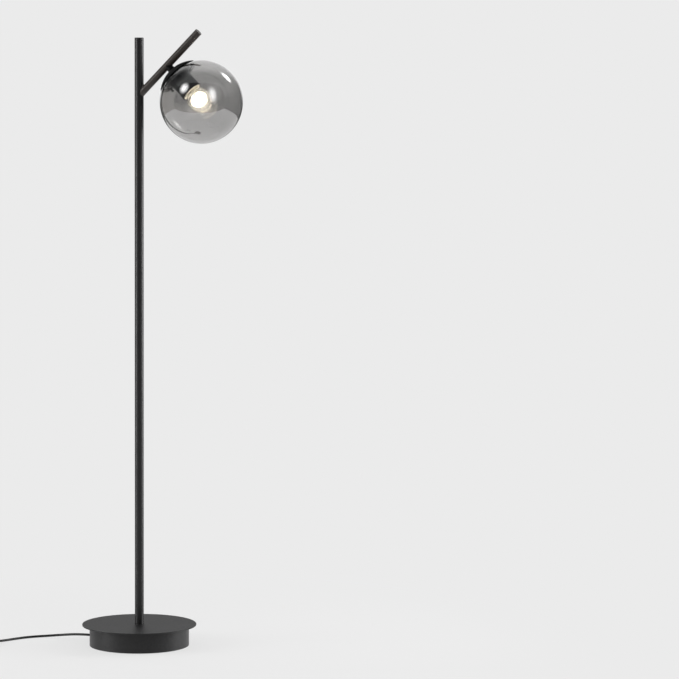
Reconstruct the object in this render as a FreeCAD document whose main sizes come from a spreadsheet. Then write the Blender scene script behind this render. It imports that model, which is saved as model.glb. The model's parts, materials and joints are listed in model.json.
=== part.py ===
import FreeCAD, Part

# Globe floor lamp: a weighted drum base, a post in three sections, a short side arm that leans
# out at 45 degrees, and a smoked glass globe hung square to the arm from a domed cap.
#
# The origin is on the floor under the post's axis, +Z is up and the arm leans towards +X.
# The mains lead leaves the drum on the -X side.

import math
import os

import Sketcher
from FreeCAD import Placement, Rotation, Vector

# name, value (millimetres, or degrees where it says so), what it is
SIZES = [
    ("fit_gap", 0.3, "between separate pieces that nearly touch"),
    ("slip", 0.05, "radial clearance of threads and plugs"),
    # base
    ("plate_dia", 280, "top plate"),
    ("plate_thick", 3, "top plate"),
    ("plate_top", 54, "top face of the plate above the floor"),
    ("plate_edge", 0.6, "rounding of the plate's rim"),
    ("drum_dia", 244, "drum under the plate"),
    ("drum_wall", 2, "sheet of the drum"),
    ("drum_lift", 2, "lower edge of the drum above the floor"),
    ("pad_dia", 20, "foot pad"),
    ("pad_thick", 3, "foot pad"),
    ("pad_circle", 200, "circle of the pads"),
    ("cover_thick", 2, "bottom cover"),
    ("weight_dia", 232, "cast disc in the drum"),
    ("weight_thick", 17, "cast disc in the drum"),
    ("recess_dia", 44, "pocket for washer and nut"),
    ("recess_depth", 8, "pocket for washer and nut"),
    ("standoff_dia", 10, "spacer between cover and weight"),
    ("screw_inset", 16, "circle of the cover screws inside the pads' circle"),
    ("screw_dia", 4, "cover and clamp screws"),
    ("screw_head_dia", 7, "cover and clamp screws"),
    ("screw_head", 1.6, "height of the flat heads"),
    ("screw_grip", 12, "depth of a screw in its spacer"),
    ("nipple_dia", 10, "hollow threaded tubes"),
    ("nipple_bore", 7, "hollow threaded tubes"),
    ("base_nipple_rise", 28, "end of the lower tube above the plate"),
    ("washer_dia", 30, "big washer in the base"),
    ("washer_thick", 2, "big washer in the base"),
    ("nut_flats", 14, "across the flats of the lock nuts"),
    ("nut_thick", 4, "lock nuts"),
    # post
    ("post_dia", 22, "post"),
    ("post_wall", 1.5, "post"),
    ("post_top", 1488, "top of the post's cap"),
    ("post_cap_thick", 2, "flat cap of the post"),
    ("post_cap_edge", 1.2, "rounding of the cap's rim"),
    ("insert_length", 30, "threaded plug in the foot of the post"),
    ("coupler_length", 60, "threaded joiner between two sections"),
    ("coupler_bore", 9, "threaded joiner between two sections"),
    ("spigot_length", 9, "plug part of the end caps"),
    # arm
    ("arm_drop", 140, "from the post's top down to where the arm's axis meets the post's axis"),
    ("arm_angle", 45, "degrees between arm and post"),
    ("arm_dia", 18, "arm tube"),
    ("arm_wall", 1.5, "arm tube"),
    ("arm_length", 218, "from the post's axis to the arm's tip"),
    ("arm_cap_thick", 1.5, "flat cap of the arm"),
    ("arm_cap_edge", 0.5, "rounding of the arm cap's rim"),
    ("wire_hole", 9, "holes for the lead in the tubes"),
    ("weld_radius", 2.2, "weld between arm and post"),
    ("stem_along", 104, "from the post's axis to the stem, along the arm"),
    ("stem_dia", 18, "stem under the arm"),
    ("stem_reach", 17.5, "from the arm's axis to the dome's seat"),
    # head, measured from the arm's axis along the stem
    ("globe_drop", 6.5, "from the dome's seat to the globe's pole"),
    ("globe_radius", 100, "glass globe"),
    ("globe_wall", 1.8, "glass globe"),
    ("globe_mouth", 96, "opening of the globe"),
    ("dome_thick", 1.2, "domed cap"),
    ("dome_seat", 20, "flat top of the dome"),
    ("dome_rim", 108, "rim of the dome"),
    ("dome_bead", 0.9, "thickening of the rolled rim"),
    ("cap_washer_dia", 19, "washer under the dome"),
    ("cap_washer_thick", 1, "washer under the dome"),
    ("spacer_dia", 14, "sleeve between nut and disc"),
    ("spacer_long", 9.8, "sleeve between nut and disc"),
    ("disc_thick", 1.5, "inner disc"),
    ("disc_dia", 90, "inner disc"),
    ("clip_count", 3, "spring clips that hold the glass"),
    ("clip_wide", 6, "spring clip"),
    ("clip_thick", 0.8, "spring clip"),
    ("clip_long", 13, "spring clip's leg"),
    ("rivet_dia", 3, "rivets of the clips"),
    ("rivet_head", 0.6, "rivets of the clips"),
    ("sleeve_dia", 53, "holder cover"),
    ("sleeve_flare", 76, "holder cover where it meets the disc"),
    ("sleeve_wall", 1.5, "holder cover"),
    ("flare_long", 23, "flared part of the holder cover"),
    ("sleeve_long", 55, "holder cover, from the disc to its open end"),
    ("holder_dia", 41, "lamp holder"),
    ("holder_neck", 28, "lamp holder's threaded end"),
    ("holder_grip", 7, "how far the threaded tube reaches into the holder"),
    ("holder_neck_long", 4, "lamp holder's threaded end"),
    ("holder_floor", 3.5, "lamp holder's floor under the contact parts"),
    ("holder_rim_thick", 6, "rim of the lamp holder"),
    ("holder_lip", 1, "how far the wide mouth reaches past the rim"),
    ("holder_mouth_dia", 35, "hole in the rim"),
    ("holder_bore", 28.4, "bore for the contact parts"),
    ("contact_depth", 36, "from the holder's mouth to the face of its contact block"),
    ("contact_block", 7, "contact block"),
    ("shell_wall", 0.6, "threaded shell of the holder"),
    ("shell_long", 30, "threaded shell of the holder"),
    ("tongue_dia", 8, "middle contact"),
    ("tongue_thick", 1.7, "middle contact"),
    # bulb
    ("bulb_radius", 29.5, "bulb's round glass"),
    ("bulb_cap_long", 23.7, "bulb's screw cap"),
    ("bulb_cap_wall", 0.5, "bulb's screw cap"),
    ("bulb_neck_long", 7, "from the screw cap to the round glass"),
    ("bulb_middle", 30, "from the screw cap to the middle of the round glass"),
    ("bulb_wall", 0.9, "bulb glass"),
    ("bulb_cap_dia", 25.8, "over the thread"),
    ("thread_depth", 0.7, "screw cap's thread"),
    ("thread_turns", 5, "screw cap's thread"),
    ("insulator_long", 4, "bulb's insulator"),
    ("button_dia", 9, "bulb's end contact"),
    ("button_thick", 1.3, "bulb's end contact"),
    ("stem_disc", 1, "carriers of the light rods"),
    ("rod_long", 26, "light rods in the bulb"),
    ("rod_dia", 2, "light rods in the bulb"),
    ("rod_circle", 13, "circle of the light rods"),
    ("rod_start", 17, "from the screw cap to the light rods"),
    # mains lead
    ("cord_dia", 6, "round mains lead"),
    ("cord_height", 18, "hole for the lead above the floor"),
    ("bend_base", 13, "bend of the lead into the base's threaded tube"),
    ("bend_arm", 28, "bend of the lead from post to arm"),
    ("bend_stem", 8, "bend of the lead from arm to stem"),
    ("bush_dia", 13, "flange of the lead's bush"),
    ("bush_thick", 1.5, "flange of the lead's bush"),
    ("bush_sleeve", 10, "sleeve of the lead's bush"),
    ("clamp_at", 92, "cord clamp, from the post's axis"),
    ("clamp_long", 12, "cord clamp, along the lead"),
    ("clamp_wide", 28, "cord clamp, across the lead"),
    ("clamp_bar", 7, "thickness of the clamp's bar"),
    ("coil_pitch", 6.6, "from turn to turn and from layer to layer"),
    ("coil_radius", 44, "outer turn of the coil, to its middle"),
    ("coil_turns", 5.25, "turns of the coil, in two layers"),
    ("coil_lift", 1.2, "underside of the coil above the floor"),
    ("tie_thick", 0.8, "tie round the coil"),
    ("tie_wide", 4, "tie round the coil"),
    # foot switch
    ("switch_long", 78, "foot switch"),
    ("switch_wide", 42, "foot switch"),
    ("switch_tall", 21, "foot switch"),
    ("switch_split", 9, "height of the joint between its shells"),
    ("switch_wall", 2, "foot switch shells"),
    ("switch_corner", 9, "corners of the foot switch"),
    ("switch_edge", 3, "rounded upper edge"),
    ("button_round", 26, "foot button"),
    ("button_rise", 4, "foot button above its shell"),
    ("button_edge", 1.5, "rounding of the foot button"),
    ("button_flange", 2, "lip that keeps the button in"),
    ("button_travel", 2.5, "how far the button goes down"),
    ("block_long", 30, "contact block under the button"),
    ("block_wide", 20, "contact block under the button"),
    ("block_tall", 7, "contact block under the button"),
    ("spring_dia", 9, "spring, to the middle of its wire"),
    ("spring_wire", 0.9, "spring wire"),
    ("spring_turns", 3, "turns of the spring"),
    # plug
    ("plug_long", 36, "flat two-pin plug"),
    ("plug_wide", 34, "flat two-pin plug"),
    ("plug_tall", 13.6, "flat two-pin plug"),
    ("plug_nose", 22, "width at the pins"),
    ("plug_edge", 1.6, "rounded edges of the plug"),
    ("plug_tail", 22, "cord guard of the plug"),
    ("plug_tail_dia", 10, "cord guard of the plug"),
    ("sleeve_reach", 20, "tapered cord guards of the foot switch"),
    ("sleeve_root", 5.2, "half the thickness of a cord guard at the switch"),
    ("sleeve_tip", 3.8, "half the thickness of a cord guard at its tip"),
    ("pin_dia", 4, "plug pins"),
    ("pin_long", 19, "plug pins"),
    ("pin_spacing", 18, "plug pins"),
]

POST_SECTIONS = 3
COVER_SCREWS = 3
FOOT_PADS = 5
LIGHT_RODS = 4

# The visible stretch of the lead, from the bush to the foot switch.
LEAD_TO_SWITCH = [
    (-145, 0, 18), (-172, 7, 15.8), (-200, 16, 11.8), (-229, 21, 7.6), (-257, 18, 4.6),
    (-284, 5, 3.4), (-305, -18, 3.2), (-322, -49, 3.2), (-335, -84, 4.3),
]
# Where the switch's near end lies, and the way it points, in degrees from +X.
SWITCH_AT = (-349, -118)
SWITCH_TURN = 245.4
# Height of the lead where it enters the switch.
CORD_IN_SWITCH = 6.5
# From the switch to the coil, along and across the switch from its near end.
LEAD_TO_COIL = [
    (104, 0, 6.5), (117, 1.3, 6.3), (131, 6.5, 5.6), (142, 16, 4.9), (148.8, 29, 4.4),
    (151, 44, 4.2), (151, 92, 4.2),
]
# From the coil down to the plug, in the same frame.
LEAD_TO_PLUG = [(89, 142, 10.8), (75, 142.4, 9.2), (61, 142, 7.0), (47, 142, 7.0)]

document = FreeCAD.newDocument("globe_floor_lamp")
sheet = document.addObject("Spreadsheet::Sheet", "Sizes")
nodes = []


class Size:
    """A length or angle worked out from the sheet: its value now and the expression behind it."""

    def __init__(self, value, text):
        self.value = value
        self.text = text

    def joined(self, sign, other, value):
        text = other.text if isinstance(other, Size) else f"{other:g}"
        return Size(value, f"({self.text} {sign} {text})")

    def __add__(self, other):
        return self.joined("+", other, self.value + number(other))

    def __sub__(self, other):
        return self.joined("-", other, self.value - number(other))

    def __mul__(self, other):
        return self.joined("*", other, self.value * number(other))

    def __truediv__(self, other):
        return self.joined("/", other, self.value / number(other))

    def __neg__(self):
        return Size(-self.value, f"(0 - {self.text})")

    def root(self):
        return Size(math.sqrt(self.value), f"sqrt({self.text})")


def number(size):
    return size.value if isinstance(size, Size) else float(size)


def sine(angle):
    return Size(math.sin(math.radians(angle.value)), f"sin({angle.text})")


def cosine(angle):
    return Size(math.cos(math.radians(angle.value)), f"cos({angle.text})")


class Sheet:
    """The driving sizes, by name."""


s = Sheet()
for row, (name, value, note) in enumerate(SIZES, start=1):
    sheet.set(f"A{row}", name)
    sheet.set(f"B{row}", str(value))
    sheet.set(f"C{row}", note)
    sheet.setAlias(f"B{row}", name)
    setattr(s, name, Size(float(value), f"Sizes.{name}"))
document.recompute()


def bind(thing, field, size):
    """Ties a property to the sheet where the size comes from it."""
    if isinstance(size, Size):
        thing.setExpression(field, size.text)
    elif "." not in field and "[" not in field:
        setattr(thing, field, size)


def place(thing, x=0.0, y=0.0, z=0.0, turn=None, about=(0, 0, 1)):
    """Puts a thing at x, y, z, turned about an axis, and keeps each of those tied to the sheet."""
    angle = number(turn) if turn is not None else 0.0
    spot = Vector(number(x), number(y), number(z))
    thing.Placement = Placement(spot, Rotation(Vector(*about), angle))
    for field, size in (("Base.x", x), ("Base.y", y), ("Base.z", z), ("Rotation.Angle", turn)):
        bind(thing, "Placement." + field, size)
    return thing


# The frames of the arm and of the head, as keywords for place().
arm_height = s.post_top - s.arm_drop
arm_frame = {"z": arm_height, "turn": s.arm_angle, "about": (0, 1, 0)}
stem_x = s.stem_along * sine(s.arm_angle)
stem_z = arm_height + s.stem_along * cosine(s.arm_angle)
head_frame = {"x": stem_x, "z": stem_z, "turn": s.arm_angle + 90, "about": (0, 1, 0)}


def node(thing, label):
    """Names a finished sub-part; the label is also its file's name."""
    thing.Label = label
    nodes.append(thing)
    return thing


def plane_of(body, role):
    return next(item for item in body.Origin.OriginFeatures if item.Role == role)


def add_outline(sketch, outline):
    """Draws a closed outline in a sketch and ties every corner to the sheet.

    A corner is (across, up). A third value is the radius of an arc from this corner to the
    next, positive where the arc turns left and negative where it turns right.
    """
    corners = [Vector(number(corner[0]), number(corner[1]), 0) for corner in outline]
    count = len(outline)
    for i, corner in enumerate(outline):
        start, end = corners[i], corners[(i + 1) % count]
        if len(corner) == 2:
            sketch.addGeometry(Part.LineSegment(start, end))
            continue
        radius = number(corner[2])
        chord = end - start
        left = Vector(-chord.y, chord.x, 0).normalize()
        reach = math.sqrt(max(radius * radius - chord.Length**2 / 4, 0))
        middle = (start + end) * 0.5
        centre = middle + left * math.copysign(reach, radius)
        bow = middle - centre
        bow = bow if bow.Length > 1e-6 else -left * math.copysign(1, radius)
        top = centre + bow.normalize() * abs(radius)
        sketch.addGeometry(Part.Arc(start, top, end))
    ends = []
    for i, corner in enumerate(outline):
        # A sketch keeps every arc counter-clockwise, so one that turns right is stored backwards.
        backwards = len(corner) == 3 and number(corner[2]) < 0
        ends.append((2, 1) if backwards else (1, 2))
    for i, corner in enumerate(outline):
        after = (i + 1) % count
        sketch.addConstraint(Sketcher.Constraint("Coincident", i, ends[i][1], after, ends[after][0]))
    for i, corner in enumerate(outline):
        for kind, axis, size in (("DistanceX", -2, corner[0]), ("DistanceY", -1, corner[1])):
            if abs(number(size)) < 1e-9:
                sketch.addConstraint(Sketcher.Constraint("PointOnObject", i, ends[i][0], axis))
                continue
            rule = Sketcher.Constraint(kind, -1, 1, i, ends[i][0], number(size))
            index = sketch.addConstraint(rule)
            bind(sketch, f"Constraints[{index}]", size)
        if len(corner) == 3:
            index = sketch.addConstraint(Sketcher.Constraint("Radius", i, abs(number(corner[2]))))
            radius = corner[2] if number(corner[2]) > 0 else -corner[2]
            bind(sketch, f"Constraints[{index}]", radius)


def turned(name, outline, **frame):
    """A body turned about its own Z axis from an outline of (radius, height) corners."""
    body = document.addObject("PartDesign::Body", name)
    sketch = body.newObject("Sketcher::SketchObject", name + "_outline")
    sketch.AttachmentSupport = [(plane_of(body, "XZ_Plane"), "")]
    sketch.MapMode = "FlatFace"
    add_outline(sketch, outline)
    turn = body.newObject("PartDesign::Revolution", name + "_turned")
    turn.Profile = sketch
    turn.ReferenceAxis = (sketch, ["V_Axis"])
    turn.Angle = 360
    sketch.Visibility = False
    return place(body, **frame)


def ring(name, inner, outer, low, high, **frame):
    """A plain turned sleeve, washer or disc with a hole."""
    return turned(name, [(inner, low), (outer, low), (outer, high), (inner, high)], **frame)


def padded(name, outline, height, low=0.0, **frame):
    """A body padded upwards from an outline of (x, y) corners that lies at height low."""
    body = document.addObject("PartDesign::Body", name)
    sketch = body.newObject("Sketcher::SketchObject", name + "_outline")
    sketch.AttachmentSupport = [(plane_of(body, "XY_Plane"), "")]
    sketch.MapMode = "FlatFace"
    sketch.AttachmentOffset = Placement(Vector(0, 0, number(low)), Rotation())
    bind(sketch, "AttachmentOffset.Base.z", low)
    add_outline(sketch, outline)
    pad = body.newObject("PartDesign::Pad", name + "_pad")
    pad.Profile = sketch
    bind(pad, "Length", height)
    sketch.Visibility = False
    return place(body, **frame)


def cylinder(name, radius, height, **frame):
    thing = document.addObject("Part::Cylinder", name)
    bind(thing, "Radius", radius)
    bind(thing, "Height", height)
    return place(thing, **frame)


def block(name, long, wide, tall, **frame):
    thing = document.addObject("Part::Box", name)
    bind(thing, "Length", long)
    bind(thing, "Width", wide)
    bind(thing, "Height", tall)
    return place(thing, **frame)


def cut(name, base, *tools):
    for i, tool in enumerate(tools):
        last = i == len(tools) - 1
        thing = document.addObject("Part::Cut", name if last else f"{name}_step{i}")
        thing.Base = base
        thing.Tool = tool
        base = thing
    return base


def fused(name, *pieces):
    thing = document.addObject("Part::MultiFuse", name)
    thing.Shapes = list(pieces)
    return thing


def group(name, pieces):
    """Several like solids that share one node."""
    thing = document.addObject("Part::Compound", name)
    thing.Links = pieces
    return thing


def hexagon(flats):
    """Corners of a hexagon, flat sides towards +X and -X."""
    side = flats / math.sqrt(3)
    half = flats / 2
    return [
        (half, -side / 2), (half, side / 2), (0.0, side),
        (-half, side / 2), (-half, -side / 2), (0.0, -side),
    ]


def lock_nut(name, low, **frame):
    """A hexagonal nut with its threaded bore."""
    body = padded(name + "_hexagon", hexagon(s.nut_flats), s.nut_thick, low=low, **frame)
    bore = ring(name + "_bore", 0.0, s.nipple_dia / 2 + s.slip, low - 1, low + s.nut_thick + 1,
                **frame)
    return cut(name, body, bore)


# ---------------------------------------------------------------- base

plate_under = s.plate_top - s.plate_thick
drum_inside = plate_under - s.drum_wall
weight_under = drum_inside - s.weight_thick
cover_top = s.pad_thick + s.cover_thick
recess_top = weight_under + s.recess_depth
hole = s.nipple_dia / 2 + s.fit_gap
nipple = s.nipple_dia / 2 - s.slip
thread = s.nipple_dia / 2


def make_top_plate():
    edge = s.plate_edge
    rim = s.plate_dia / 2
    plate = turned("top_plate_solid", [
        (hole, plate_under), (rim - edge, plate_under, edge), (rim, plate_under + edge),
        (rim, s.plate_top - edge, edge), (rim - edge, s.plate_top), (hole, s.plate_top),
    ])
    node(plate, "base_top_plate")


def make_drum():
    """The drum is one spun cup, open below, with a hole for the lead's bush."""
    wall = s.drum_dia / 2
    cup = turned("drum_cup", [
        (hole, drum_inside), (wall - s.drum_wall, drum_inside), (wall - s.drum_wall, s.drum_lift),
        (wall, s.drum_lift), (wall, plate_under), (hole, plate_under),
    ])
    drill = cylinder("drum_drill", s.bush_sleeve / 2 + s.fit_gap, s.drum_wall * 10,
                     x=s.drum_wall * 5 - wall, z=s.cord_height, turn=-90, about=(0, 1, 0))
    node(cut("drum_shell", cup, drill), "base_drum")


def make_weight():
    recess = s.recess_dia / 2
    rim = s.weight_dia / 2
    disc = turned("weight_disc", [
        (hole, recess_top), (recess, recess_top), (recess, weight_under), (rim, weight_under),
        (rim, drum_inside), (hole, drum_inside),
    ])
    node(disc, "base_weight")


def around(count, circle, start=0.0):
    """Places on a circle, as (x, y) sizes."""
    spots = []
    for k in range(count):
        angle = math.radians(start + 360 * k / count)
        spots.append((circle / 2 * round(math.cos(angle), 6), circle / 2 * round(math.sin(angle), 6)))
    return spots


def make_cover():
    """The bottom cover hangs on spacers under the weight and carries the foot pads."""
    radius = s.drum_dia / 2 - s.drum_wall - s.fit_gap
    plate = cylinder("cover_plate", radius, s.cover_thick, z=s.pad_thick)
    drills, spacers, screws = [], [], []
    for k, (x, y) in enumerate(around(COVER_SCREWS, s.pad_circle - s.screw_inset * 2)):
        drills.append(cylinder(f"cover_drill{k}", s.screw_dia / 2 + s.fit_gap, s.cover_thick * 3,
                               x=x, y=y, z=s.pad_thick - s.cover_thick))
        body = cylinder(f"spacer_body{k}", s.standoff_dia / 2, weight_under - cover_top,
                        x=x, y=y, z=cover_top)
        bore = cylinder(f"spacer_bore{k}", s.screw_dia / 2 + s.slip, s.screw_grip,
                        x=x, y=y, z=cover_top)
        spacers.append(cut(f"spacer{k}", body, bore))
        head = cylinder(f"cover_head{k}", s.screw_head_dia / 2, s.screw_head,
                        x=x, y=y, z=s.pad_thick - s.screw_head)
        shank = cylinder(f"cover_shank{k}", s.screw_dia / 2, s.cover_thick + s.screw_grip - s.fit_gap,
                         x=x, y=y, z=s.pad_thick)
        screws.append(fused(f"cover_screw{k}", head, shank))
    node(cut("cover_drilled", plate, *drills), "base_bottom_cover")
    node(group("spacers", spacers), "base_spacers")
    node(group("cover_screw_set", screws), "base_cover_screws")
    spots = [(0.0, 0.0), *around(FOOT_PADS, s.pad_circle, 18)]
    pads = [cylinder(f"pad{k}", s.pad_dia / 2, s.pad_thick, x=x, y=y)
            for k, (x, y) in enumerate(spots)]
    node(group("pads", pads), "foot_pads")


def make_base_clamping():
    """A hollow threaded tube pulls post, plate, drum and weight together."""
    washer_low = recess_top - s.washer_thick
    nut_low = washer_low - s.nut_thick
    node(ring("base_tube", s.nipple_bore / 2, nipple, nut_low, s.plate_top + s.base_nipple_rise),
         "base_threaded_tube")
    node(ring("base_ring", hole, s.washer_dia / 2, washer_low, recess_top), "base_washer")
    nut = lock_nut("base_nut_solid", nut_low)
    node(nut, "base_lock_nut")


def make_bush():
    """The lead's bush snaps into the drum wall, with its axis along X."""
    sleeve = s.drum_wall + s.bush_thick + s.fit_gap * 2
    bore = s.cord_dia / 2 + s.slip
    flange = s.bush_dia / 2
    outline = [
        (bore, -s.bush_thick), (flange, -s.bush_thick), (flange, 0.0),
        (s.bush_sleeve / 2, 0.0), (s.bush_sleeve / 2, sleeve),
        (bore, sleeve),
    ]
    bush = turned("bush_turned", outline, x=-(s.drum_dia / 2 + s.fit_gap), z=s.cord_height,
                  turn=90, about=(0, 1, 0))
    node(bush, "cord_bush")


def make_cord_clamp():
    """A block under the weight and a bar below it hold the lead against pulling."""
    low = s.cord_height
    corner = -(s.clamp_at + s.clamp_long / 2)
    side = -(s.clamp_wide / 2)
    groove = cylinder("clamp_groove", s.cord_dia / 2 + s.slip, s.clamp_long * 2,
                      x=corner - s.clamp_long / 2, z=low, turn=90, about=(0, 1, 0))
    upper = block("clamp_upper", s.clamp_long, s.clamp_wide, weight_under - low, x=corner, y=side, z=low)
    lower = block("clamp_lower", s.clamp_long, s.clamp_wide, s.clamp_bar,
                  x=corner, y=side, z=low - s.clamp_bar)
    drills, screws = [], []
    for k, sign in enumerate((-1, 1)):
        y = (s.clamp_wide / 2 - s.screw_head_dia / 2 - 1) * sign
        x = -s.clamp_at
        bottom = low - s.clamp_bar
        drills.append(cylinder(f"clamp_drill{k}", s.screw_dia / 2 + s.slip, s.clamp_bar + s.screw_grip,
                               x=x, y=y, z=bottom))
        head = cylinder(f"clamp_head{k}", s.screw_head_dia / 2, s.screw_head,
                        x=x, y=y, z=bottom - s.screw_head)
        shank = cylinder(f"clamp_shank{k}", s.screw_dia / 2, s.clamp_bar + s.screw_grip - s.fit_gap,
                         x=x, y=y, z=bottom)
        screws.append(fused(f"clamp_screw{k}", head, shank))
    node(cut("clamp_block_cut", upper, groove, *drills), "cord_clamp_block")
    node(cut("clamp_bar_cut", lower, groove, *drills), "cord_clamp_bar")
    node(group("clamp_screw_set", screws), "cord_clamp_screws")


# ---------------------------------------------------------------- post

post_outer = s.post_dia / 2
post_inner = post_outer - s.post_wall
tube_top = s.post_top - s.post_cap_thick
section = (tube_top - s.plate_top) / POST_SECTIONS


def make_post():
    names = ["post_lower_section", "post_middle_section", "post_upper_section"]
    for k, name in enumerate(names):
        low = s.plate_top + section * k
        tube = ring(f"post_tube{k}", post_inner, post_outer, low, low + section)
        if k == POST_SECTIONS - 1:
            drill = cylinder("post_drill", s.wire_hole / 2, s.post_dia, **arm_frame)
            tube = cut("post_drilled", tube, drill)
        node(tube, name)
    plug = post_inner - s.slip
    node(ring("post_insert", thread, plug, s.plate_top, s.plate_top + s.insert_length),
         "post_foot_insert")
    for k, name in enumerate(["post_coupler_lower", "post_coupler_upper"], start=1):
        middle = s.plate_top + section * k
        half = s.coupler_length / 2
        node(ring(f"coupler{k}", s.coupler_bore / 2, plug, middle - half, middle + half), name)
    edge = s.post_cap_edge
    cap = turned("post_cap_solid", [
        (0.0, tube_top - s.spigot_length), (plug, tube_top - s.spigot_length), (plug, tube_top),
        (post_outer, tube_top), (post_outer, s.post_top - edge, edge),
        (post_outer - edge, s.post_top), (0.0, s.post_top),
    ])
    node(cap, "post_end_cap")


# ---------------------------------------------------------------- arm

arm_outer = s.arm_dia / 2
arm_inner = arm_outer - s.arm_wall
arm_tube_end = s.arm_length - s.arm_cap_thick


def make_arm():
    """The arm's lower end is coped to the post and welded on."""
    tube = ring("arm_tube_long", arm_inner, arm_outer, 0.0, arm_tube_end, **arm_frame)
    cope = cylinder("arm_cope", post_outer + s.slip, s.arm_length, z=arm_height - s.arm_length / 2)
    drill = cylinder("arm_drill", s.wire_hole / 2, s.arm_dia, **head_frame)
    node(cut("arm_coped", tube, cope, drill), "arm_tube")
    plug = arm_inner - s.slip
    edge = s.arm_cap_edge
    start = arm_tube_end - s.spigot_length
    cap = turned("arm_cap_solid", [
        (0.0, start), (plug, start), (plug, arm_tube_end), (arm_outer, arm_tube_end),
        (arm_outer, s.arm_length - edge, edge), (arm_outer - edge, s.arm_length),
        (0.0, s.arm_length),
    ], **arm_frame)
    node(cap, "arm_end_cap")


def make_arm_weld():
    """The weld is what a fillet between arm and post adds to the two of them."""
    reach = s.post_dia * 3
    post = cylinder("weld_post", post_outer, reach * 2, z=arm_height - reach)
    arm = cylinder("weld_arm", arm_outer, reach, **arm_frame)
    joint = fused("weld_joint", post, arm)
    document.recompute()
    seams = []
    for index, edge in enumerate(joint.Shape.Edges, start=1):
        middle = edge.valueAt((edge.FirstParameter + edge.LastParameter) / 2)
        off_post = abs(math.hypot(middle.x, middle.y) - post_outer.value)
        closed_ring = edge.Curve.TypeId == "Part::GeomCircle"
        on_seam = off_post < 1e-3 and not closed_ring and edge.Curve.TypeId != "Part::GeomLine"
        if on_seam:
            seams.append((index, s.weld_radius.value, s.weld_radius.value))
    rounded = document.addObject("Part::Fillet", "weld_rounded")
    rounded.Base = joint
    rounded.Edges = seams
    post_hole = cylinder("weld_post_hole", post_outer + s.slip, reach * 2, z=arm_height - reach)
    arm_hole = cylinder("weld_arm_hole", arm_outer + s.slip, reach * 2, **arm_frame)
    node(cut("weld_bead", rounded, post_hole, arm_hole), "arm_weld")


def make_stem():
    """A short threaded boss welded to the underside of the arm."""
    boss = ring("stem_boss", thread, s.stem_dia / 2, 0.0, s.stem_reach, **head_frame)
    saddle = cylinder("stem_saddle", arm_outer + s.slip, s.arm_length, **arm_frame)
    node(cut("stem_coped", boss, saddle), "arm_stem")


# ---------------------------------------------------------------- head

dome_inside = s.stem_reach + s.dome_thick
globe_centre = s.stem_reach + s.globe_drop + s.globe_radius
washer_end = dome_inside + s.cap_washer_thick
nut_end = washer_end + s.nut_thick
disc_at = nut_end + s.spacer_long
disc_under = disc_at + s.disc_thick
sleeve_base = disc_under + s.sleeve_wall
holder_mouth = disc_under + s.sleeve_long
contact_seat = holder_mouth - s.contact_depth


def arc_radius(from_radius, to_radius, rise):
    """Radius of the arc about an axis that rises by rise between two distances from the axis."""
    centre = (to_radius * to_radius - from_radius * from_radius + rise * rise) / (rise * 2)
    return (from_radius * from_radius + centre * centre).root()


def sphere_at(radius, across):
    """How far from a ball's middle a circle of the given radius lies."""
    return (radius * radius - across * across).root()


def make_dome():
    """The dome's rim stays one gap off the glass."""
    seat = s.dome_seat / 2
    rim = s.dome_rim / 2
    inner_rim = rim - s.dome_thick
    end = globe_centre - sphere_at(s.globe_radius + s.fit_gap, inner_rim)
    bead = s.dome_bead
    outer = arc_radius(seat, rim, end - bead * 2 - s.stem_reach)
    inner = arc_radius(seat, inner_rim, end - dome_inside)
    dome = turned("dome_spun", [
        (hole, s.stem_reach), (hole, dome_inside), (seat, dome_inside, inner),
        (inner_rim, end), (rim, end, bead), (rim, end - bead * 2, -outer), (seat, s.stem_reach),
    ], **head_frame)
    node(dome, "globe_cap")


def make_head_stack():
    """Everything between the dome and the lamp holder is threaded on one hollow tube."""
    tube_start = s.stem_reach - s.stem_dia / 2 + 2
    tube_end = sleeve_base + s.holder_grip
    node(ring("head_tube", s.nipple_bore / 2, nipple, tube_start, tube_end, **head_frame),
         "head_threaded_tube")
    node(ring("cap_ring", hole, s.cap_washer_dia / 2, dome_inside, washer_end, **head_frame),
         "cap_washer")
    node(lock_nut("cap_nut_solid", washer_end, **head_frame), "cap_lock_nut")
    node(ring("gallery_sleeve", hole, s.spacer_dia / 2, nut_end, disc_at, **head_frame),
         "disc_spacer")


def clip_outline():
    """Side view of a clip: a foot under the disc, then a leg inside the mouth of the glass."""
    leg = s.globe_mouth / 2 - s.fit_gap
    foot = s.sleeve_flare / 2 + 1
    low = disc_under
    return [
        (foot, low), (leg, low), (leg, low + s.clip_long), (leg - s.clip_thick, low + s.clip_long),
        (leg - s.clip_thick, low + s.clip_thick), (foot, low + s.clip_thick),
    ]


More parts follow.
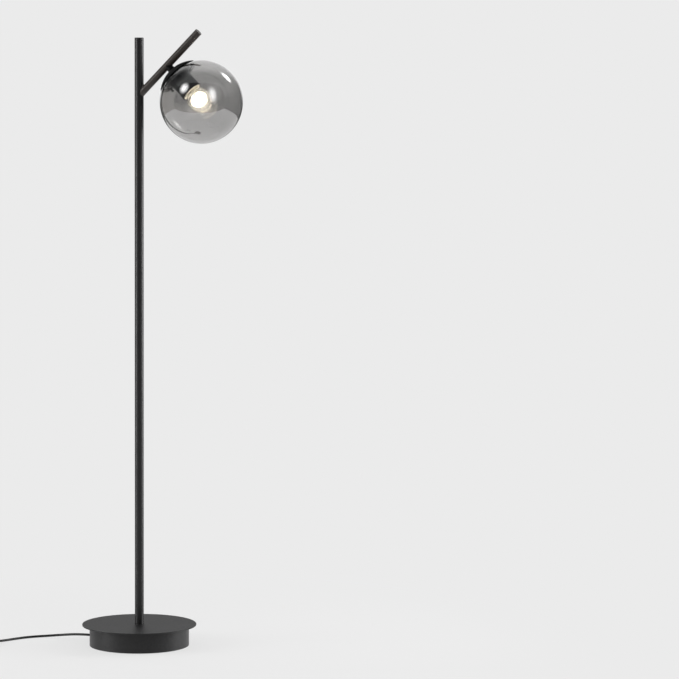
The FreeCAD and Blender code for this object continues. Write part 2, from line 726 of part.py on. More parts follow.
def make_disc_and_clips():
    """The inner disc, its spring clips, and the rivets that hold them."""
    disc = ring("disc_plain", hole, s.disc_dia / 2, disc_at, disc_under, **head_frame)
    drills, clips, rivets = [], [], []
    count = int(s.clip_count.value)
    leg = s.globe_mouth / 2 - s.fit_gap - s.clip_thick
    spot = (leg + s.sleeve_flare / 2 + 1) / 2
    for k in range(count):
        turn = Rotation(Vector(0, 0, 1), 360 * k / count + 30)
        head = Placement(Vector(stem_x.value, 0, stem_z.value),
                         Rotation(Vector(0, 1, 0), s.arm_angle.value + 90))
        around_axis = head.multiply(Placement(Vector(), turn))
        corners = [Vector(number(x), 0, number(z)) for x, z in clip_outline()]
        face = Part.Face(Part.makePolygon(corners + corners[:1]))
        face.translate(Vector(0, -s.clip_wide.value / 2, 0))
        clip = face.extrude(Vector(0, s.clip_wide.value, 0))
        long = s.disc_thick.value + s.clip_thick.value
        base = Vector(spot.value, 0, disc_at.value)
        shank = Part.makeCylinder(s.rivet_dia.value / 2, long, base)
        drill = Part.makeCylinder(s.rivet_dia.value / 2 + s.slip.value, long, base)
        head_radius = s.rivet_dia.value * 0.75
        upper = Part.makeCylinder(head_radius, s.rivet_head.value,
                                  base - Vector(0, 0, s.rivet_head.value))
        lower = Part.makeCylinder(head_radius, s.rivet_head.value, base + Vector(0, 0, long))
        rivet = upper.fuse([shank, lower]).removeSplitter()
        clip = clip.cut(drill)
        for shape, found in ((clip, clips), (rivet, rivets), (drill, drills)):
            shape.Placement = around_axis.multiply(shape.Placement)
            found.append(shape)
    hole_set = document.addObject("Part::Feature", "disc_drills")
    hole_set.Shape = Part.makeCompound(drills)
    node(cut("disc_drilled", disc, hole_set), "cap_inner_disc")
    for label, shapes in (("globe_clips", clips), ("clip_rivets", rivets)):
        thing = document.addObject("Part::Feature", label + "_set")
        thing.Shape = Part.makeCompound(shapes)
        node(thing, label)


def make_holder_cover():
    """A tube that flares like a trumpet towards the disc."""
    outer = s.sleeve_dia / 2
    flare = s.sleeve_flare / 2
    wall = s.sleeve_wall
    spread = flare - outer
    flare_end = disc_under + s.flare_long
    drop = flare_end - sleeve_base
    sweep = (spread * spread + drop * drop) / (spread * 2)
    cover = turned("cover_spun", [
        (hole, disc_under), (flare, disc_under), (flare, sleeve_base, -sweep),
        (outer, flare_end), (outer, holder_mouth), (outer - wall, holder_mouth),
        (outer - wall, flare_end, sweep), (flare - wall, sleeve_base), (hole, sleeve_base),
    ], **head_frame)
    node(cover, "holder_cover")


def make_lamp_holder():
    """Moulded holder with its contact block, threaded shell and middle contact."""
    neck = s.holder_neck / 2
    body = s.holder_dia / 2
    rim = s.sleeve_dia / 2 - s.sleeve_wall - s.fit_gap
    bore = s.holder_bore / 2
    neck_end = sleeve_base + s.holder_neck_long
    rim_start = holder_mouth - s.holder_rim_thick
    chamber = neck_end + s.holder_floor
    lip = rim_start + s.holder_lip
    holder = turned("holder_moulded", [
        (thread, sleeve_base), (neck, sleeve_base), (neck, neck_end), (body, neck_end + body - neck),
        (body, rim_start), (rim, rim_start), (rim, holder_mouth),
        (s.holder_mouth_dia / 2, holder_mouth), (s.holder_mouth_dia / 2, lip), (bore, lip),
        (bore, chamber), (thread, chamber),
    ], **head_frame)
    node(holder, "lamp_holder")
    inner = bore - s.fit_gap
    node(ring("contact_block_solid", s.screw_dia / 4, inner, contact_seat - s.contact_block,
              contact_seat, **head_frame), "contact_block")
    node(ring("shell_solid", inner - s.shell_wall, inner, contact_seat,
              contact_seat + s.shell_long - s.fit_gap, **head_frame), "holder_screw_shell")
    node(ring("tongue_solid", s.screw_dia / 4, s.tongue_dia / 2, contact_seat,
              contact_seat + s.tongue_thick, **head_frame), "centre_contact")


def make_globe():
    """Blown glass, cut off at its mouth; it clips over the inner disc's springs."""
    mouth = s.globe_mouth / 2
    outside = s.globe_radius
    inside = outside - s.globe_wall
    centre = globe_centre
    globe = turned("globe_blown", [
        (0.0, centre + inside, -inside), (inside, centre, -inside),
        (mouth, centre - sphere_at(inside, mouth)), (mouth, centre - sphere_at(outside, mouth), outside),
        (outside, centre, outside), (0.0, centre + outside),
    ], **head_frame)
    # The outline runs up the inside and down the outside.
    node(globe, "glass_globe")


# ---------------------------------------------------------------- bulb

def make_bulb():
    contact = contact_seat + s.tongue_thick + s.fit_gap
    insulator = contact + s.button_thick
    shell = insulator + s.insulator_long
    cap_end = shell + s.bulb_cap_long
    outer = s.bulb_cap_dia / 2
    wall = s.thread_depth + s.bulb_cap_wall
    flat = outer - s.thread_depth
    button = s.button_dia / 2
    zero = 0.0
    node(turned("button_solid", [(zero, contact), (button, contact), (button, insulator),
                                 (zero, insulator)], **head_frame), "bulb_contact")
    node(turned("insulator_solid", [(zero, insulator), (button, insulator), (flat - 1, shell),
                                    (zero, shell)], **head_frame), "bulb_insulator")
    outline = [(outer - wall, cap_end), (outer - wall, shell), (flat, shell)]
    turns = int(s.thread_turns.value)
    pitch = s.bulb_cap_long / (turns + 1)
    for k in range(turns):
        outline += [(outer, shell + pitch * (k + 0.5)), (flat, shell + pitch * (k + 1))]
    outline.append((flat, cap_end))
    node(turned("bulb_cap_solid", outline[::-1], **head_frame), "bulb_screw_cap")
    big = s.bulb_radius
    small = big - s.bulb_wall
    neck = cap_end + s.bulb_neck_long
    middle = cap_end + s.bulb_middle
    neck_drop = s.bulb_middle - s.bulb_neck_long
    neck_out = (big * big - neck_drop * neck_drop).root()
    neck_in = (small * small - neck_drop * neck_drop).root()
    glass = turned("bulb_blown", [
        (flat - s.bulb_wall, cap_end), (flat, cap_end), (neck_out, neck, big),
        (big, middle, big), (zero, middle + big), (zero, middle + small, -small),
        (small, middle, -small), (neck_in, neck),
    ], **head_frame)
    node(glass, "bulb_glass")
    make_light_rods(zero, cap_end)


def make_light_rods(zero, cap_end):
    """Upright light rods between two small discs on the bulb's glass stem."""
    ring_radius = s.rod_circle / 2 + s.rod_dia / 2
    core = s.rod_dia / 2
    first = cap_end + s.rod_start
    last = first + s.rod_long
    foot = s.bulb_cap_dia / 2 - s.thread_depth - s.bulb_wall - s.fit_gap
    stem = turned("bulb_stem_solid", [
        (zero, cap_end), (foot, cap_end), (core * 2, cap_end + s.bulb_neck_long),
        (core, first - s.stem_disc), (ring_radius, first - s.stem_disc), (ring_radius, first),
        (core, first), (core, last), (ring_radius, last), (ring_radius, last + s.stem_disc),
        (zero, last + s.stem_disc),
    ], **head_frame)
    node(stem, "bulb_stem")
    rods = []
    for k in range(LIGHT_RODS):
        angle = math.radians(360 * k / LIGHT_RODS + 45)
        across = s.rod_circle / 2 * round(math.cos(angle), 6)
        side = s.rod_circle / 2 * round(math.sin(angle), 6)
        turn = head_frame["turn"]
        x = stem_x + first * sine(turn) + across * cosine(turn)
        z = stem_z + first * cosine(turn) - across * sine(turn)
        rods.append(cylinder(f"light_rod{k}", s.rod_dia / 2, s.rod_long,
                             x=x, y=side, z=z, turn=turn, about=(0, 1, 0)))
    node(group("light_rod_set", rods), "bulb_light_rods")


# ---------------------------------------------------------------- foot switch and plug

def on_floor(along, across, height=0.0):
    """A place given along and across the foot switch, from its near end."""
    angle = math.radians(SWITCH_TURN)
    ahead = Vector(math.cos(angle), math.sin(angle), 0)
    right = Vector(math.sin(angle), -math.cos(angle), 0)
    start = Vector(SWITCH_AT[0], SWITCH_AT[1], 0)
    return start + ahead * along + right * across + Vector(0, 0, height)


def switch_frame(along=0.0, across=0.0, height=0.0):
    spot = on_floor(number(along), number(across))
    return {"x": spot.x, "y": spot.y, "z": height, "turn": SWITCH_TURN}


def rounded_block(name, inset, low, high, edge=None):
    """A block with round corners, inset from the switch's outline; its upper edge may be rounded."""
    x0 = inset
    x1 = s.switch_long - inset
    y = s.switch_wide / 2 - inset
    r = s.switch_corner - inset
    body = padded(name, [
        (r + x0, -y), (x1 - r, -y, r), (x1, -y + r), (x1, y - r, r), (x1 - r, y), (r + x0, y, r),
        (x0, y - r), (x0, -y + r, r),
    ], high - low, **switch_frame(height=low))
    if edge is not None:
        document.recompute()
        pad = body.Tip
        top = [f"Edge{i}" for i, e in enumerate(pad.Shape.Edges, start=1)
               if min(v.Point.z for v in e.Vertexes) > number(high - low) - 1e-4]
        fillet = body.newObject("PartDesign::Fillet", name + "_round")
        fillet.Base = (pad, top)
        bind(fillet, "Radius", edge)
        body.Tip = fillet
    return body


def make_switch():
    wall = s.switch_wall
    tall = s.switch_tall
    split = s.switch_split
    middle = s.switch_long / 2
    base = rounded_block("switch_base_block", 0.0, 0.0, split)
    base_room = rounded_block("switch_base_room", wall, wall, split + 1)
    node(cut("switch_base_cut", base, base_room), "switch_base")
    cover = rounded_block("switch_cover_block", 0.0, split, tall, s.switch_edge)
    cover_room = rounded_block("switch_cover_room", wall, split - 1, tall - wall)
    opening = cylinder("switch_opening", s.button_round / 2 + s.fit_gap, tall,
                       **switch_frame(middle, 0, split))
    node(cut("switch_cover_cut", cover, cover_room, opening), "switch_cover")
    lip = tall - wall - s.fit_gap
    button_low = wall + s.block_tall + s.button_travel + s.fit_gap
    cup = s.button_round / 2
    edge = s.button_edge
    hollow = s.spring_dia / 2 + s.spring_wire
    button = turned("button_solid_round", [
        (0.0, tall - wall), (hollow, tall - wall), (hollow, button_low),
        (cup + s.button_flange, button_low), (cup + s.button_flange, lip), (cup, lip),
        (cup, tall + s.button_rise - edge, edge), (cup - edge, tall + s.button_rise),
        (0.0, tall + s.button_rise),
    ], **switch_frame(middle, 0, 0.0))
    node(button, "switch_button")
    half = s.block_long / 2
    node(block("switch_block_solid", s.block_long, s.block_wide, s.block_tall,
               **switch_frame(middle - half, s.block_wide / 2, wall)), "switch_contact_block")
    make_switch_spring(wall + s.block_tall, tall - wall, middle)
    # The four screws stand beside the round corners.
    inset = s.switch_corner + s.screw_dia / 2
    side = s.switch_wide / 2 - inset / 2 - wall
    screws = []
    for k, along in enumerate((inset, s.switch_long - inset)):
        for sign in (-1, 1):
            screws.append(cylinder(f"switch_screw{k}{sign + 1}", s.screw_dia / 2, split - wall,
                                   **switch_frame(along, side * sign, wall)))
    node(group("switch_screw_set", screws), "switch_screws")
    make_switch_guards()


def make_switch_guards():
    """A tapered guard where the lead enters each end of the foot switch."""
    guards = []
    for end, way in ((0.0, 1), (number(s.switch_long), -1)):
        guard = document.addObject("Part::Cone", f"guard_cone{way + 1}")
        bind(guard, "Radius1", s.sleeve_root)
        bind(guard, "Radius2", s.sleeve_tip)
        bind(guard, "Height", s.sleeve_reach)
        bore = cylinder(f"guard_bore{way + 1}", s.cord_dia / 2 + s.slip, s.sleeve_reach)
        turn = Rotation(Vector(0, 0, 1), SWITCH_TURN).multiply(Rotation(Vector(0, 1, 0), -90 * way))
        for thing in (guard, bore):
            thing.Placement = Placement(on_floor(end, 0, CORD_IN_SWITCH), turn)
        guards.append(cut(f"switch_guard{way + 1}", guard, bore))
    node(group("switch_guard_set", guards), "switch_cord_guards")


def biarc(start, start_way, end, end_way):
    """Two arcs that leave start along start_way and arrive at end along end_way."""
    chord = end - start
    ways = start_way + end_way
    bend = 2 * (1 - start_way.dot(end_way))
    along = chord.dot(ways)
    if bend < 1e-9:
        return [Part.LineSegment(start, end).toShape()]
    reach = (-along + math.sqrt(along * along + bend * chord.dot(chord))) / bend
    middle = (start + start_way * reach + end - end_way * reach) * 0.5
    edges = []
    for a, way, b in ((start, start_way, middle), (middle, None, end)):
        if way is None:
            way = (end - end_way * reach - start - start_way * reach).normalize()
        edges.append(tangent_arc(a, way, b))
    return edges


def tangent_arc(a, way, b):
    """The arc from a to b that leaves a along way."""
    chord = b - a
    across = chord - way * chord.dot(way)
    if across.Length < 1e-7:
        return Part.LineSegment(a, b).toShape()
    across.normalize()
    radius = chord.dot(chord) / (2 * chord.dot(across))
    centre = a + across * radius
    half = (a + b) * 0.5 - centre
    return Part.Arc(a, centre + half.normalize() * radius, b).toShape()


def pipe(edges, radius):
    """A round tube along a wire, as a pipe shell with its two ends closed."""
    wire = Part.Wire(edges)
    start = wire.Edges[0].Vertexes[0].Point
    way = wire.Edges[0].tangentAt(wire.Edges[0].FirstParameter)
    profile = Part.Wire([Part.Circle(start, way, radius).toShape()])
    shell = Part.BRepOffsetAPI.MakePipeShell(wire)
    shell.add(profile)
    shell.build()
    shell.makeSolid()
    return shell.shape(), wire


def winding(points):
    """Edges through a list of (place, way), one biarc from each to the next."""
    edges = []
    for (a, a_way), (b, b_way) in zip(points[:-1], points[1:], strict=True):
        edges += biarc(a, a_way, b, b_way)
    return edges


def least_gap(wire, thick, apart):
    """The least gap of a tube to itself, between points that lie over apart along it."""
    step = thick / 4
    count = int(wire.Length / step)
    points = wire.discretize(Number=count)
    skip = int(apart / step)
    best = 1e9
    for i in range(0, count, 2):
        for j in range(i + skip, count, 2):
            best = min(best, (points[i] - points[j]).Length)
    return best - thick


def make_switch_spring(low, high, middle):
    """A small pressure spring between the contact block and the button."""
    wire_radius = s.spring_wire.value / 2
    gap = s.fit_gap.value
    radius = s.spring_dia.value / 2
    bottom = low.value + wire_radius + gap
    top = high.value - wire_radius - gap
    turns = s.spring_turns.value
    rise = (top - bottom) / turns
    spot = on_floor(middle.value, 0)
    points = []
    for k in range(int(turns * 4) + 1):
        angle = math.pi / 2 * k
        place_at = spot + Vector(radius * math.cos(angle), radius * math.sin(angle), 0)
        place_at.z = bottom + rise * k / 4
        way = Vector(-radius * math.sin(angle), radius * math.cos(angle), rise / (2 * math.pi))
        points.append((place_at, way.normalize()))
    solid, wire = pipe(winding(points), wire_radius)
    print("spring: least gap", round(least_gap(wire, 2 * wire_radius, 3 * radius), 2))
    thing = document.addObject("Part::Feature", "spring_wound")
    thing.Shape = solid
    node(thing, "switch_spring")


def make_plug():
    """A flat two-pin plug, lying beside the coil with its cord guard towards the lead."""
    end = LEAD_TO_PLUG[-1]
    level = end[2]
    face = s.plug_long + s.plug_tail
    frame = {"x": on_floor(end[0], end[1]).x, "y": on_floor(end[0], end[1]).y,
             "z": level - s.plug_tall.value / 2, "turn": SWITCH_TURN + 180}
    wide = s.plug_wide / 2
    nose = s.plug_nose / 2
    back = s.plug_tail
    outline = [
        (back, -(s.plug_tail_dia / 2)), (back + s.plug_long * 0.35, -wide),
        (back + s.plug_long * 0.7, -wide), (face, -nose), (face, nose),
        (back + s.plug_long * 0.7, wide), (back + s.plug_long * 0.35, wide),
        (back, s.plug_tail_dia / 2),
    ]
    body = padded("plug_body_pad", outline, s.plug_tall, **frame)
    document.recompute()
    pad = body.Tip
    long_edges = [f"Edge{i}" for i, e in enumerate(pad.Shape.Edges, start=1)]
    fillet = body.newObject("PartDesign::Fillet", "plug_round")
    fillet.Base = (pad, long_edges)
    bind(fillet, "Radius", s.plug_edge)
    body.Tip = fillet
    tail_way = Rotation(Vector(0, 0, 1), SWITCH_TURN + 180).multiply(Rotation(Vector(0, 1, 0), 90))
    guard = document.addObject("Part::Cone", "plug_guard")
    bind(guard, "Radius1", s.sleeve_tip)
    bind(guard, "Radius2", s.plug_tail_dia / 2)
    bind(guard, "Height", s.plug_tail + 2)
    guard.Placement = Placement(on_floor(end[0], end[1], level), tail_way)
    node(fused("plug_fused", body, guard), "plug_body")
    pins = []
    for k, sign in enumerate((-1, 1)):
        pin = cylinder(f"plug_pin{k}", s.pin_dia / 2, s.pin_long)
        spot = on_floor(end[0] - number(face), end[1] + sign * number(s.pin_spacing) / 2, level)
        pin.Placement = Placement(spot, tail_way)
        pins.append(pin)
    node(group("plug_pin_set", pins), "plug_pins")


# ---------------------------------------------------------------- leads

def rounded_route(points, radii=None, name=""):
    """Straight runs with a tangent arc at each point between them."""
    spots = [Vector(*p) for p in points]
    edges = []
    at = spots[0]
    made = []
    for i in range(1, len(spots) - 1):
        before, here, after = spots[i - 1], spots[i], spots[i + 1]
        way_in = (here - before).normalize()
        way_out = (after - here).normalize()
        half = way_in.getAngle(way_out) / 2
        shorter = min((here - before).Length, (after - here).Length)
        radius = 0.45 * shorter / math.tan(half) if radii is None else radii[i - 1]
        reach = radius * math.tan(half)
        begin, end = here - way_in * reach, here + way_out * reach
        towards = (way_out - way_in).normalize()
        top = here + towards * (radius / math.cos(half) - radius)
        edges.append(Part.LineSegment(at, begin).toShape())
        edges.append(Part.Arc(begin, top, end).toShape())
        at = end
        made.append(round(radius))
    edges.append(Part.LineSegment(at, spots[-1]).toShape())
    print(name, "radii", made)
    return edges


def make_tube(label, edges):
    solid, wire = pipe(edges, s.cord_dia.value / 2)
    section_area = math.pi * (s.cord_dia.value / 2) ** 2
    share = solid.Volume / (section_area * wire.Length)
    print(label, "length", round(wire.Length, 1), "volume share", round(share, 4),
          "lowest", round(solid.BoundBox.ZMin, 3))
    thing = document.addObject("Part::Feature", label + "_tube")
    thing.Shape = solid
    node(thing, label)


def make_inner_cable():
    """The lead inside the lamp, from the bush through base, post and arm to the holder."""
    angle = math.radians(s.arm_angle.value)
    along = Vector(math.sin(angle), 0, math.cos(angle))
    down = Vector(math.cos(angle), 0, -math.sin(angle))
    joint = Vector(0, 0, arm_height.value)
    turn = joint + along * s.stem_along.value
    end = turn + down * (contact_seat - s.contact_block - s.fit_gap).value
    start = Vector(-(s.drum_dia / 2 + s.fit_gap + s.bush_thick).value, 0, s.cord_height.value)
    points = [start, Vector(0, 0, s.cord_height.value), joint, turn, end]
    radii = [s.bend_base.value, s.bend_arm.value, s.bend_stem.value]
    edges = rounded_route(points, radii=radii, name="inner cable")
    make_tube("inner_cable", edges)


# Turns over which the coil climbs from its lower to its upper layer, on either side.
COIL_CLIMB = 0.25
# Points for each turn of the coil, and the least length along it between points compared for gaps.
COIL_POINTS = 8
COIL_APART = 60
# Place of the tie and the turns that it goes round.
TIE_AT = 0.12
TIE_ROUND = 2


def coil_place(centre, turns):
    """Place and way on the coil after a number of turns from its start."""
    pitch = s.coil_pitch.value
    middle = s.coil_turns.value / 2
    climb = COIL_CLIMB
    off = turns - middle
    smooth = min(abs(off), climb)
    # Through the climb the radius eases over from shrinking to growing.
    inward = abs(off) if abs(off) > climb else off * off / (2 * climb) + climb / 2
    radius = s.coil_radius.value - pitch * (middle - inward)
    slope = math.copysign(1, off) if abs(off) > climb else off / climb
    low = s.coil_lift.value + s.cord_dia.value / 2
    share = max(-1.0, min(1.0, off / climb))
    height = low + pitch * (1 + math.sin(share * math.pi / 2)) / 2
    rise = 0.0
    if smooth < climb:
        rise = pitch * math.cos(share * math.pi / 2) * math.pi / (4 * climb)
    angle = 2 * math.pi * turns
    heading = math.radians(SWITCH_TURN)
    ahead = Vector(math.cos(heading), math.sin(heading), 0)
    right = Vector(math.sin(heading), -math.cos(heading), 0)
    out = ahead * math.cos(angle) + right * math.sin(angle)
    round_way = ahead * -math.sin(angle) + right * math.cos(angle)
    spot = centre + out * radius + Vector(0, 0, height)
    way = round_way * (2 * math.pi * radius) + out * (pitch * slope) + Vector(0, 0, rise)
    return spot, way.normalize()


def make_coil():
    """The length that is put away: a tied coil in two layers, wound inwards and out again."""
    end = LEAD_TO_COIL[-1]
    straight = s.cord_dia.value
    centre = on_floor(end[0] - s.coil_radius.value, end[1] + straight)
    heading = math.radians(SWITCH_TURN)
    right = Vector(math.sin(heading), -math.cos(heading), 0)
    ahead = Vector(math.cos(heading), math.sin(heading), 0)
    steps = int(s.coil_turns.value * COIL_POINTS)
    points = [coil_place(centre, k / COIL_POINTS) for k in range(steps + 1)]
    # The two ends run straight for one diameter, square to the leads they meet.
    first = (points[0][0], right)
    last = (points[-1][0], ahead * -1)
    edges = [Part.LineSegment(first[0] - right * straight, first[0]).toShape()]
    edges += winding([first, *points[1:-1], last])
    edges.append(Part.LineSegment(last[0], last[0] - ahead * straight).toShape())
    print("coil: ends", points[0][0], last[0] - ahead * straight)
    wire = Part.Wire(edges)
    print("coil: least gap", round(least_gap(wire, s.cord_dia.value, COIL_APART), 2))
    make_tube("cord_coil", edges)
    make_tie(centre, right, ahead)
    return last[0] - ahead * straight


def make_tie(centre, right, ahead):
    """A flat strap round the coil's turns."""
    angle = 2 * math.pi * TIE_AT
    out = ahead * math.cos(angle) + right * math.sin(angle)
    pitch = s.coil_pitch.value
    half = s.cord_dia.value / 2
    gap = s.fit_gap.value
    thick = s.tie_thick.value
    outer = s.coil_radius.value - pitch * TIE_AT + half + gap
    inner = s.coil_radius.value - pitch * (TIE_AT + TIE_ROUND) - half - gap
    low = s.coil_lift.value - gap
    high = s.coil_lift.value + 2 * half + pitch + gap
    side = out.cross(Vector(0, 0, 1)).normalize()

    def frame_face(grow):
        corners = [(inner - grow, low - grow), (outer + grow, low - grow),
                   (outer + grow, high + grow), (inner - grow, high + grow)]
        spots = [centre + out * r + Vector(0, 0, z) - side * (s.tie_wide.value / 2)
                 for r, z in corners]
        return Part.Face(Part.makePolygon(spots + spots[:1]))

    strap = frame_face(thick).cut(frame_face(0)).Faces[0].extrude(side * s.tie_wide.value)
    thing = document.addObject("Part::Feature", "tie_strap")
    thing.Shape = strap
    node(thing, "coil_tie")


def make_leads(coil_end):
    """The three free stretches of the lead: to the switch, to the coil and to the plug."""
    start_x = -(s.drum_dia / 2 + s.fit_gap + s.bush_thick).value
    start = (start_x, 0, s.cord_height.value)
    guard_end = number(s.sleeve_reach) + 6
    switch_in = on_floor(0, 0, CORD_IN_SWITCH)
    before = on_floor(-guard_end, 0, CORD_IN_SWITCH)
    points = [start, *LEAD_TO_SWITCH, tuple(before), tuple(switch_in)]
    make_tube("cord_to_switch", rounded_route(points, name="cord to switch"))
    points = [tuple(on_floor(s.switch_long.value, 0, CORD_IN_SWITCH))]
    points += [tuple(on_floor(*p)) for p in LEAD_TO_COIL]
    make_tube("cord_to_coil", rounded_route(points, name="cord to coil"))
    points = [tuple(coil_end)]
    points += [tuple(on_floor(*p)) for p in LEAD_TO_PLUG]
    make_tube("cord_to_plug", rounded_route(points, name="cord to plug"))


make_top_plate()
make_drum()
make_weight()
make_cover()
make_base_clamping()
make_bush()
make_cord_clamp()
make_post()
make_arm()
make_arm_weld()
make_stem()
make_dome()
make_head_stack()
make_disc_and_clips()
make_holder_cover()
make_lamp_holder()
make_globe()
make_bulb()
make_switch()
make_plug()
make_inner_cable()
coil_end = make_coil()
make_leads(coil_end)

document.recompute()

failed = [thing.Name for thing in document.Objects if {"Invalid", "Error"} & set(thing.State)]
for thing in nodes:
    if thing.Shape.isNull() or not thing.Shape.isValid() or not thing.Shape.Solids:
        failed.append(thing.Label)
if failed:
    raise RuntimeError(f"these failed: {failed}")

os.makedirs("parts", exist_ok=True)
for thing in nodes:
    thing.Shape.exportStep(f"parts/{thing.Label}.step")
print(len(nodes), "nodes")
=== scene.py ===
# Looks of the globe floor lamp: a powder coated steel lamp with a half-mirrored smoked glass globe
# and a lit clear bulb, on a pale floor.

import json
import math

import bmesh
import bpy
from mathutils import Matrix, Vector


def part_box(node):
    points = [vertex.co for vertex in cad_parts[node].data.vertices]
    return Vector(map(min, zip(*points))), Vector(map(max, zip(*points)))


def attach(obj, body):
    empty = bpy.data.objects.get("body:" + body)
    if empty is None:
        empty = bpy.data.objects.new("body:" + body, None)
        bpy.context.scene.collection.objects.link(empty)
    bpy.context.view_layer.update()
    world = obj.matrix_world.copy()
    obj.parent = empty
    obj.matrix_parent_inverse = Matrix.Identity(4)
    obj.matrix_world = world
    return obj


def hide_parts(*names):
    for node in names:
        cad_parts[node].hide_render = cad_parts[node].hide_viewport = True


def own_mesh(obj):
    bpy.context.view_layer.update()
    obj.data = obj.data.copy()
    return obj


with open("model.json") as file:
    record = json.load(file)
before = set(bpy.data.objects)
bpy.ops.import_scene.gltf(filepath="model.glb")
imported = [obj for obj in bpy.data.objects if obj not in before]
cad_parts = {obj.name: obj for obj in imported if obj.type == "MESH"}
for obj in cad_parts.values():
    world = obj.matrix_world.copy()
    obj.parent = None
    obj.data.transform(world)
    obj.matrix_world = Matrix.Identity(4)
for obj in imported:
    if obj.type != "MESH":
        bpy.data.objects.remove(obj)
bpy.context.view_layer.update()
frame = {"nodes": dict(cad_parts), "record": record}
nodes = frame["nodes"]
scene = bpy.context.scene
MM = 0.001

# ---------------------------------------------------------------- camera

# The camera looks at the lamp from its front right; the lamp stands at the left of the frame.
VIEW_DEGREES = 22
VIEW_TURN = math.radians(VIEW_DEGREES)
to_right = Vector((math.cos(VIEW_TURN), math.sin(VIEW_TURN), 0))
to_camera = Vector((math.sin(VIEW_TURN), -math.cos(VIEW_TURN), 0))
CAMERA_AT = Vector((2.8418, -7.0338, 1.400))
PAN = math.radians(VIEW_DEGREES - 3.692)
TILT = math.radians(90 - 4.852)
ROLL = math.radians(0.289)
SENSOR = 36
LENS = 165.16
FARTHEST = 200

camera = bpy.data.objects.new("camera", bpy.data.cameras.new("camera"))
camera.data.sensor_width = SENSOR
camera.data.lens = LENS
camera.data.clip_end = FARTHEST
camera.matrix_world = (
    Matrix.Translation(CAMERA_AT)
    @ Matrix.Rotation(PAN, 4, "Z")
    @ Matrix.Rotation(TILT, 4, "X")
    @ Matrix.Rotation(ROLL, 4, "Z")
)
scene.collection.objects.link(camera)
scene.camera = camera
scene.view_settings.view_transform = "Standard"


# ---------------------------------------------------------------- nodes and materials

def linear(code):
    """A colour written as sRGB hex, as linear red, green, blue and alpha."""
    parts = [int(code[i:i + 2], 16) / 255 for i in (1, 3, 5)]
    return (*[p / 12.92 if p <= 0.04045 else ((p + 0.055) / 1.055) ** 2.4 for p in parts], 1.0)


# The two colours that a colour mix takes, and the one that it gives.
MIX_FROM, MIX_TO = 6, 7
MIXED = 2


def add_node(tree, kind, values=None, links=None, **settings):
    """Adds a node with its settings, the values of its inputs and what is linked to them."""
    item = tree.nodes.new(kind)
    for name, value in settings.items():
        setattr(item, name, value)
    for name, value in (values or {}).items():
        item.inputs[name].default_value = value
    for name, socket in (links or {}).items():
        tree.links.new(socket, item.inputs[name])
    return item


def surface(name, values):
    """A material with one Principled shader; returns it, its tree, the shader and its coordinates."""
    material = bpy.data.materials.new(name)
    material.use_nodes = True
    tree = material.node_tree
    tree.nodes.clear()
    shader = add_node(tree, "ShaderNodeBsdfPrincipled", values)
    add_node(tree, "ShaderNodeOutputMaterial", links={"Surface": shader.outputs["BSDF"]})
    place = add_node(tree, "ShaderNodeTexCoord").outputs["Object"]
    return material, tree, shader, place


def per_metre(millimetres):
    """A noise texture's scale for grains of that size."""
    return 1 / (millimetres * MM)


# How much the fine grain adds to the coarse drift, and the sums at which a finish is at its ends.
FINE_SHARE = 0.5
DRIFT_FROM, DRIFT_TO = 0.45, 1.05


def grained(name, light, dark, rough, grain, depth, mottle, values):
    """A finish with a fine grain in its height and a coarse drift in its colour and gloss.

    light and dark are the ends of the drift, rough the two ends of the roughness, grain and
    mottle the sizes of both patterns and depth the height of the grain, all in millimetres.
    """
    material, tree, shader, place = surface(name, values)
    fine = add_node(tree, "ShaderNodeTexNoise", {"Scale": per_metre(grain), "Detail": 3.0},
                    {"Vector": place})
    coarse = add_node(tree, "ShaderNodeTexNoise", {"Scale": per_metre(mottle), "Detail": 4.0},
                      {"Vector": place})
    both = add_node(tree, "ShaderNodeMath", {1: FINE_SHARE},
                    {0: fine.outputs["Fac"], 2: coarse.outputs["Fac"]}, operation="MULTIPLY_ADD")
    share = add_node(tree, "ShaderNodeMapRange", {"From Min": DRIFT_FROM, "From Max": DRIFT_TO},
                     {"Value": both.outputs["Value"]})
    colour = add_node(tree, "ShaderNodeMix", {MIX_FROM: linear(dark), MIX_TO: linear(light)},
                      {0: share.outputs["Result"]}, data_type="RGBA")
    gloss = add_node(tree, "ShaderNodeMapRange", {"To Min": rough[0], "To Max": rough[1]},
                     {"Value": share.outputs["Result"]})
    bump = add_node(tree, "ShaderNodeBump", {"Strength": 1.0, "Distance": depth * MM},
                    {"Height": fine.outputs["Fac"]})
    tree.links.new(colour.outputs[MIXED], shader.inputs["Base Color"])
    tree.links.new(gloss.outputs["Result"], shader.inputs["Roughness"])
    tree.links.new(bump.outputs["Normal"], shader.inputs["Normal"])
    return material


# Fine-textured black powder coat on steel: matt, with a sandy grain that breaks the light up. The
# real grain is about 0.2 mm; it is drawn at 1 mm so that it shows.
powder_coat = grained("black_powder_coat", "#222223", "#161617", (0.36, 0.46), 1.0, 0.05, 5.0,
                      {"Specular IOR Level": 0.33})
# The arm's coat flows out smoother, so that its round shows a soft sheen. Its browner colour is painted
# warm light from the lit bulb, laid on the black coat.
arm_coat_painted_warm_light = grained("black_powder_coat_painted_warm_light", "#352d29", "#231d1a", (0.34, 0.44), 1.0, 0.025, 5.0,
                   {"Specular IOR Level": 0.6})
# The coat of dome and stem is finer and duller, with hardly a highlight. Its near black is the dome's own
# black; on the stem it is painted shade, since the stem lies in shadow.
satin_coat_and_painted_shade = grained("satin_black_coat_and_stem_painted_shade", "#0a0a0b", "#060607", (0.55, 0.62), 0.6, 0.02, 6.0,
                     {"Specular IOR Level": 0.1})
# Sand-cast iron, left as cast: dull grey with a 1.5 mm grain.
cast_iron = grained("sand_cast_iron", "#5b5a58", "#42413f", (0.6, 0.75), 1.5, 0.25, 9.0,
                    {"Metallic": 0.6})
